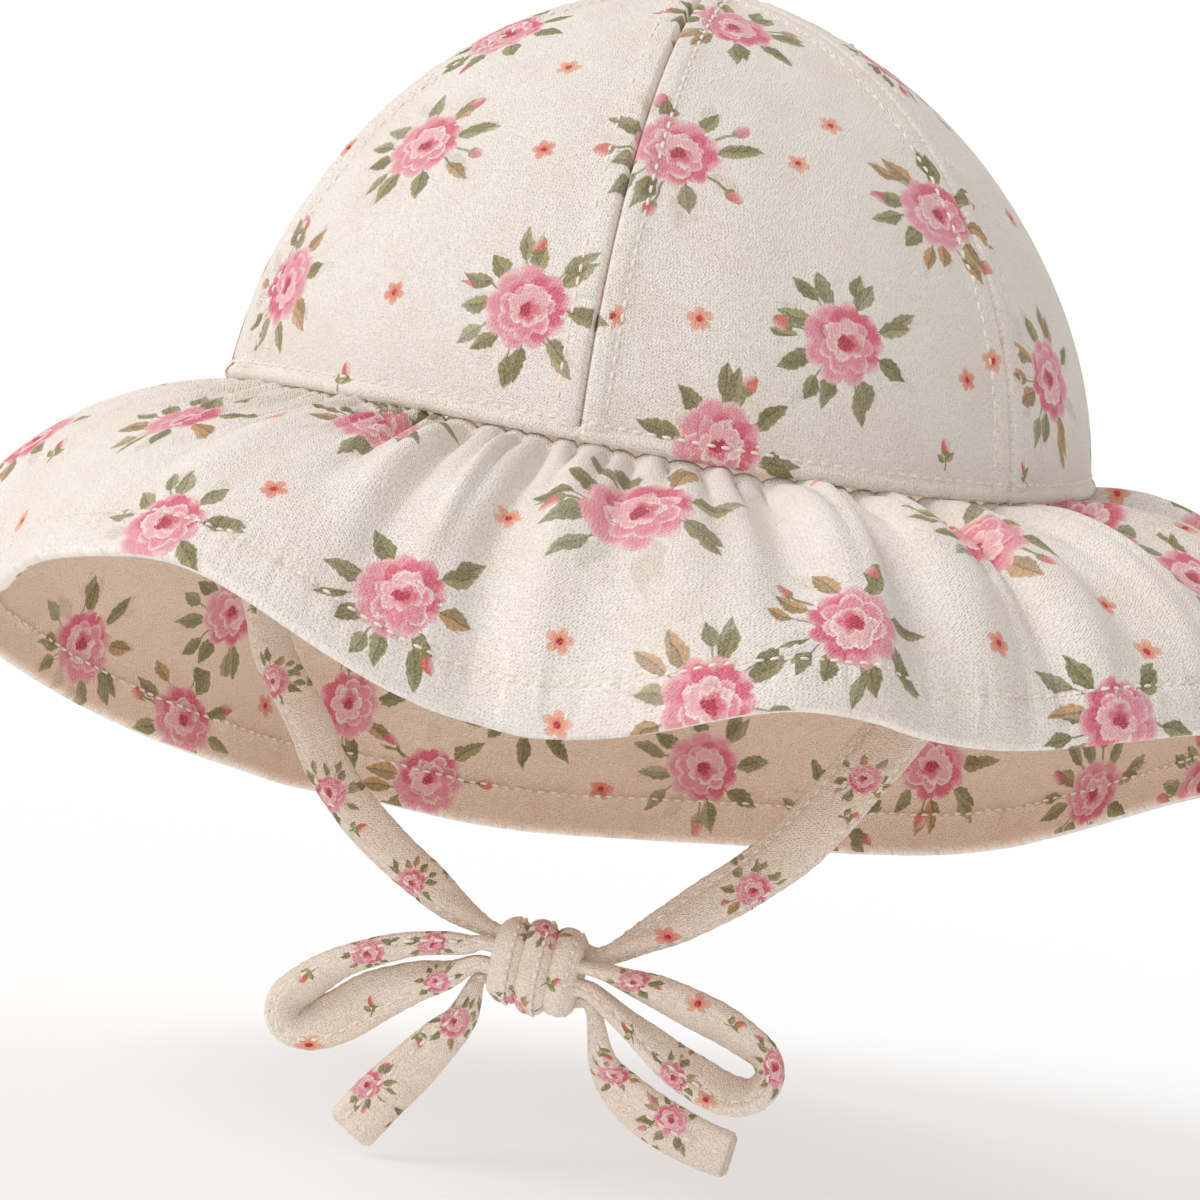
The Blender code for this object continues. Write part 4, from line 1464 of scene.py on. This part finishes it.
def make_tie(label, side, tie, loop, tail, with_pieces):
    """A whole tie: from the ear to the knot, round its loop and out to its free end."""
    tie_rows = (-0.95, 0.95) if side > 0 else (0.6,)
    tie_route = [tie_top(side), *tie, *reversed(knot_port(side, "tie"))]
    loop_route = [*knot_port(side, "loop_out"), *loop, *reversed(knot_port(side, "loop_back"))]
    tail_route = [*knot_port(side, "tail"), *tail]
    nodes = [f"{kind}_{label}" for kind in ("tie", "bow_loop", "bow_tail")]
    stretches = [
        strap_stretch(nodes[0], tie_route, 4 + side, False, tie_rows),
        strap_stretch(nodes[1], loop_route, 9 + side, False, (0.28,)),
        strap_stretch(nodes[2], tail_route, 14 + side, True, (0.22,)),
    ]
    points, threads, faces, groups, path, stamps, stitches = [], [], [], [], [], [], []
    for index, (rings, thread, centres, prints, sewn) in enumerate(stretches):
        parts = [(rings, thread, centres, index)]
        if index < 2:
            turn, line = hidden_turn(centres[-1], stretches[index + 1][2][0], side)
            parts.append((turn, turn / MM * (1, 1, 0), line[3:-3], -1))
        for rings, thread, centres, group in parts:
            start = sum(map(len, points))
            count, sides = rings.shape[:2]
            faces += [[corner + start for corner in face] for face in tube_faces(count, sides)]
            points.append(rings.reshape(-1, 3))
            threads.append(thread.reshape(-1, 3))
            groups.append(np.full(count * sides, group))
            path.append(centres)
        stamps += [(index, *one) for one in prints]
        stitches += sewn
    path = np.concatenate(path)
    points = np.concatenate(points)
    piece = new_piece(f"tie_strap_{label}", points, faces, [cloth_tie_warm_shade])
    stamp_loops(piece, stamps, np.concatenate(threads), np.concatenate(groups))
    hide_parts(*nodes)
    sewn = make_stitches(f"tie_strap_{label}_stitches", stitches, "tie_cloth")
    with_pieces = [sewn, *with_pieces]
    width = max(row[3] for row in tie_route) * TIE_WIDTH
    line = [tuple(map(float, point)) for point in (*path[::3], path[-1])]


def stamp_loops(piece, stamps, threads, groups):
    """Lays the print on tubes as it lies on their unrolled cloth.

    A stamp is its group, its place along and round the cloth, its radius, kind, turn and
    seed. A thread's third number is the girth there, after which the weave comes round again.
    """
    mesh = piece.data
    sizes = np.empty(len(mesh.polygons), np.int32)
    mesh.polygons.foreach_get("loop_total", sizes)
    corners = corner_points(mesh)
    starts = np.cumsum(sizes) - sizes
    threads = threads.reshape(-1, 3)[corners]
    girth = threads[:, 2]
    far = np.repeat(np.maximum.reduceat(threads[:, 1], starts), sizes)
    wrapped = (threads[:, 1] < far - girth / 2) & (np.repeat(sizes, sizes) == 4)
    threads[wrapped, 1] += girth[wrapped]
    along, around, girth = (np.add.reduceat(threads, starts, axis=0) / sizes[:, None]).T
    of_face = groups[corners[starts]]
    best = np.zeros(len(sizes))
    values = np.zeros((len(corners), 3))
    for group, far_along, far_round, radius, kind, turn, seed in stamps:
        turns = np.round((around - far_round) / np.maximum(girth, 1))
        centre = far_round + turns * girth
        away = np.hypot(along - far_along, around - centre) - REACH[kind] * radius
        nearer = (away < best) & (of_face == group)
        best[nearer] = away[nearer]
        mine = np.repeat(nearer, sizes)
        x = threads[mine, 1] - np.repeat(centre, sizes)[mine]
        y = threads[mine, 0] - far_along
        cosine, sine = math.cos(math.radians(turn)), math.sin(math.radians(turn))
        values[mine, 0] = (x * cosine + y * sine) / radius
        values[mine, 1] = (y * cosine - x * sine) / radius
        values[mine, 2] = kind + seed
    add_corner_vectors(mesh, "motif", values)
    add_corner_vectors(mesh, "thread", threads)


KNOT_WRAPS = 3


def make_knot():
    """The knot: three padded wraps of strap, each a little askew, with stitched grooves."""
    stations, sides = 96, 56
    place = np.linspace(0, 1, stations)[:, None]
    angle = circle(sides)[None, :]
    skew = 0.035 * np.sin(angle + 0.6) + 0.02 * np.sin(2 * angle)
    along = np.clip(place + skew * np.sin(math.pi * place), 0, 1)
    rib = np.abs(np.sin(math.pi * KNOT_WRAPS * along)) ** 0.42
    number = np.minimum(np.floor(along * KNOT_WRAPS), KNOT_WRAPS - 1)
    size = 1.0 + np.choose(number.astype(int), (-0.045, 0.035, -0.02))
    within = along * KNOT_WRAPS - number
    pucker = 0.03 * np.sin(angle * 22 + 4 * number) * bell(within, KNOT_SEAM, 0.12)
    seam = 0.10 * bell(within, KNOT_SEAM, 0.035) + pucker
    wrinkle = 0.018 * np.sin(5 * angle + 9 * along) + 0.012 * np.sin(11 * angle + 25 * along)
    shoulder = 1 - 0.14 * np.abs(2 * place - 1) ** 5
    full = size * shoulder * (0.80 + 0.22 * rib - seam * 0.6 + wrinkle)
    box = 1 / (np.abs(np.cos(angle)) ** 2.5 + np.abs(np.sin(angle)) ** 2.5) ** (1 / 2.5)
    local = np.stack(
        [
            (place - 0.5) * KNOT_LENGTH + 0 * angle,
            KNOT_DEPTH / 2 * full * box * np.cos(angle),
            KNOT_HEIGHT / 2 * full * box * np.sin(angle) * 0.985,
        ],
        -1,
    )
    lean = np.array(Matrix.Rotation(KNOT_LEAN, 3, "Y"))
    points = local @ lean.T + np.array(KNOT_CENTRE)
    piece = new_piece("knot_wraps", points, tube_faces(stations, sides), [cloth_tie_warm_shade])
    along_knot = (place - 0.5) * KNOT_LENGTH / MM
    girth = math.pi * KNOT_HEIGHT / MM
    thread = weave_places(along_knot, angle * KNOT_HEIGHT / 2 / MM, girth)
    stamps = []
    for x, turned, radius, kind, seed in (
        (0.0006, 62, 2.6, ROSE, 0.31), (-0.0050, 110, 1.9, FLOWER, 0.2),
        (0.0012, 200, 2.8, ROSE, 0.6), (-0.002, -60, 2.6, ROSE, 0.45),
        (0.004, -10, 2.0, SPRIG, 0.7),
    ):
        around = (math.pi - math.radians(turned)) * KNOT_HEIGHT / 2 / MM
        stamps.append((0, x / MM, around, radius, kind, 30, seed))
    stamp_loops(piece, stamps, thread, np.zeros(points.shape[0] * points.shape[1]))
    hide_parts("bow_knot")
    sewn = []
    for wrap in range(KNOT_WRAPS):
        station = int((wrap + KNOT_SEAM) / KNOT_WRAPS * (stations - 1))
        line = points[station]
        sewn.append((closed(line), closed(unit(line - line.mean(0)))))
    sizes = {"pitch": 1.9 * MM, "length": 1.25 * MM}
    return piece, make_stitches("knot_stitches", sewn, "tie_cloth", **sizes)


# Stitches


def make_stitches(name, lines, slot, pitch=STITCH_PITCH, length=STITCH_LENGTH):
    """Thread stitches along lines, each line given with its normals, as one piece."""
    sides = 6
    stations = np.array([-1.0, -0.82, -0.35, 0.35, 0.82, 1.0])
    girth = np.array([0.30, 0.80, 1.0, 1.0, 0.80, 0.30])
    sink = np.array([-0.30, -0.08, 0.12, 0.12, -0.08, -0.30]) * MM
    ring = circle(sides)
    all_points = []
    all_faces = []
    rng = np.random.default_rng(len(name) * 7)
    block = tube_faces(len(stations), sides)
    for line, normals in lines:
        arc = arc_of(line)
        count = int(arc[-1] / pitch)
        if count < 1:
            continue
        centres = (np.arange(count) + 0.5) * arc[-1] / count + rng.uniform(-0.05, 0.05, count) * MM
        for centre in centres:
            at = centre + stations * length / 2
            path = rows_at(at, arc, line)
            normal = unit(rows_at(at, arc, normals))
            run = unit(np.gradient(path, axis=0))
            side = np.cross(run, normal)
            path = path + normal * sink[:, None]
            radius = STITCH_RADIUS * girth
            tube = (
                path[:, None]
                + side[:, None] * (np.cos(ring)[None, :] * radius[:, None] * 1.15)[..., None]
                + normal[:, None] * (np.sin(ring)[None, :] * radius[:, None])[..., None]
            )
            start = len(all_points) * len(stations) * sides
            all_points.append(tube.reshape(-1, 3))
            all_faces.extend([[corner + start for corner in face] for face in block])
    return new_piece(name, np.concatenate(all_points), all_faces, [thread_cotton])


def sew_crown():
    """Topstitching beside each crown seam and above the piping."""
    lines = []
    climbs = np.linspace(0.045, 0.935, 260)
    radius = np.hypot(*crown_base(np.zeros(260), climbs)[:, :2].T)
    for seam in range(PANEL_COUNT):
        for side in (-1, 1):
            azimuth = seam * PANEL_SPACING + side * SEAM_STITCH_DISTANCE / radius
            points, normals, _ = crown_sheet(azimuth, climbs)
            lines.append((points, normals))
    azimuth = np.linspace(0, 2 * math.pi, 1400)
    points, normals, _ = crown_sheet(azimuth, np.full(1400, BASE_STITCH_HEIGHT / CROWN_ARC))
    lines.append((points, normals))
    make_stitches("crown_stitches", lines, "crown_cloth")


def sew_brim(places):
    """One row of stitches above the hem, seen from above and from below."""
    lines = []
    for grid, sign in ((places["upper"], 1), (places["lower"], -1)):
        from_hem = places["width"][:, None] - places["distance"]
        column = np.arange(BRIM_COLUMNS)
        row = np.abs(from_hem - HEM_BAND).argmin(axis=1)
        normal = places["normals"][column, row] * sign
        lines.append((closed(grid[column, row]), closed(normal)))
    make_stitches("hem_stitches", lines, "brim_cloth")


# Camera, floor and light


def make_camera():
    """The camera at the photograph's angle, rolled as it was."""
    azimuth, elevation, roll = CAMERA_AZIMUTH, CAMERA_ELEVATION, CAMERA_ROLL
    back = Vector((
        math.sin(azimuth) * math.cos(elevation),
        -math.cos(azimuth) * math.cos(elevation),
        math.sin(elevation),
    ))
    right = Vector((math.cos(azimuth), math.sin(azimuth), 0.0))
    up = back.cross(right)
    target = right * CAMERA_AIM[0] + up * CAMERA_AIM[1]
    place = back * CAMERA_DISTANCE
    away = (place - target).normalized()
    top = up * math.cos(roll) - right * math.sin(roll)
    side = top.cross(away).normalized()
    top = away.cross(side)
    data = bpy.data.cameras.new("camera")
    data.lens = CAMERA_LENS
    data.sensor_width = 36.0
    data.clip_start = 0.01
    data.clip_end = 50.0
    camera = add_object("camera", data)
    camera.matrix_world = Matrix((
        (side.x, top.x, away.x, place.x),
        (side.y, top.y, away.y, place.y),
        (side.z, top.z, away.z, place.z),
        (0, 0, 0, 1),
    ))
    bpy.context.scene.camera = camera


def make_stage():
    """A pale floor that curves up far behind the hat, and glows: a painted glow that lightens the
    hat's shadow on it and lights the hat from below.
    """
    profile = [(-FLOOR_REACH, 0.0), (FLOOR_BEND_START, 0.0)]
    for step in range(1, 13):
        angle = step / 12 * math.pi / 2
        back = FLOOR_BEND_START + FLOOR_BEND * math.sin(angle)
        profile.append((back, FLOOR_BEND - FLOOR_BEND * math.cos(angle)))
    profile.append((FLOOR_BEND_START + FLOOR_BEND, WALL_TOP))
    sides = (-FLOOR_REACH, FLOOR_REACH)
    points = np.array([[x, y, FLOOR_HEIGHT + z] for x in sides for y, z in profile])
    faces = grid_faces(2, len(profile))
    mesh = bpy.data.meshes.new("floor")
    mesh.from_pydata(points.tolist(), [], faces[:, ::-1].tolist())
    mesh.shade_smooth()
    floor = add_object("floor", mesh)
    material, _, _ = new_material("floor_white_glowing", {
        "Base Color": (0.45, 0.455, 0.46, 1.0),
        # Painted light: the floor's own glow fills the hat's shadow and lights the hat from below
        "Emission Color": (1.0, 1.0, 1.0, 1.0),
        "Emission Strength": 0.50,
        "Roughness": 0.9,
        "Specular IOR Level": 0.1,
    })
    mesh.materials.append(material)


def add_light(name, kind, towards, energy, size, place=(0, 0, 0)):
    """A soft light that shines against the direction towards which it lies."""
    data = bpy.data.lights.new(name, kind)
    data.energy = energy
    if kind == "SUN":
        data.angle = size
    else:
        data.size = size
    light = add_object(name, data)
    light.location = place
    light.rotation_euler = Vector(towards).to_track_quat("Z", "Y").to_euler()


def make_light():
    """Soft studio light from above on the left, a low fill and a pale surround."""
    scene = bpy.context.scene
    world = bpy.data.worlds.new("surround")
    scene.world = world
    world.use_nodes = True
    background = world.node_tree.nodes["Background"]
    background.inputs["Color"].default_value = (1.0, 0.94, 0.88, 1.0)
    background.inputs["Strength"].default_value = 0.34
    add_light("key_light", "SUN", (-0.62, -0.38, 0.68), 1.75, math.radians(46))
    add_light("low_fill", "AREA", (0.05, -1.0, 0.02), 48.0, 2.5, (0.2, -4.0, -0.05))
    add_light("wall_light", "AREA", (0.0, -0.55, 0.8), 13.0, 2.0, (0.0, 1.1, 2.0))
    scene.view_settings.view_transform = "Standard"


make_camera()
make_stage()
make_light()

crown_stamps = crown_print()
make_crown()
make_piping()
make_button()
brim, brim_places = make_brim()
sew_crown()
sew_brim(brim_places)
knot_and_stitches = make_knot()
make_tie("left", -1, TIE_LEFT, LOOP_LEFT, TAIL_LEFT, knot_and_stitches)
make_tie("right", 1, TIE_RIGHT, LOOP_RIGHT, TAIL_RIGHT, [])
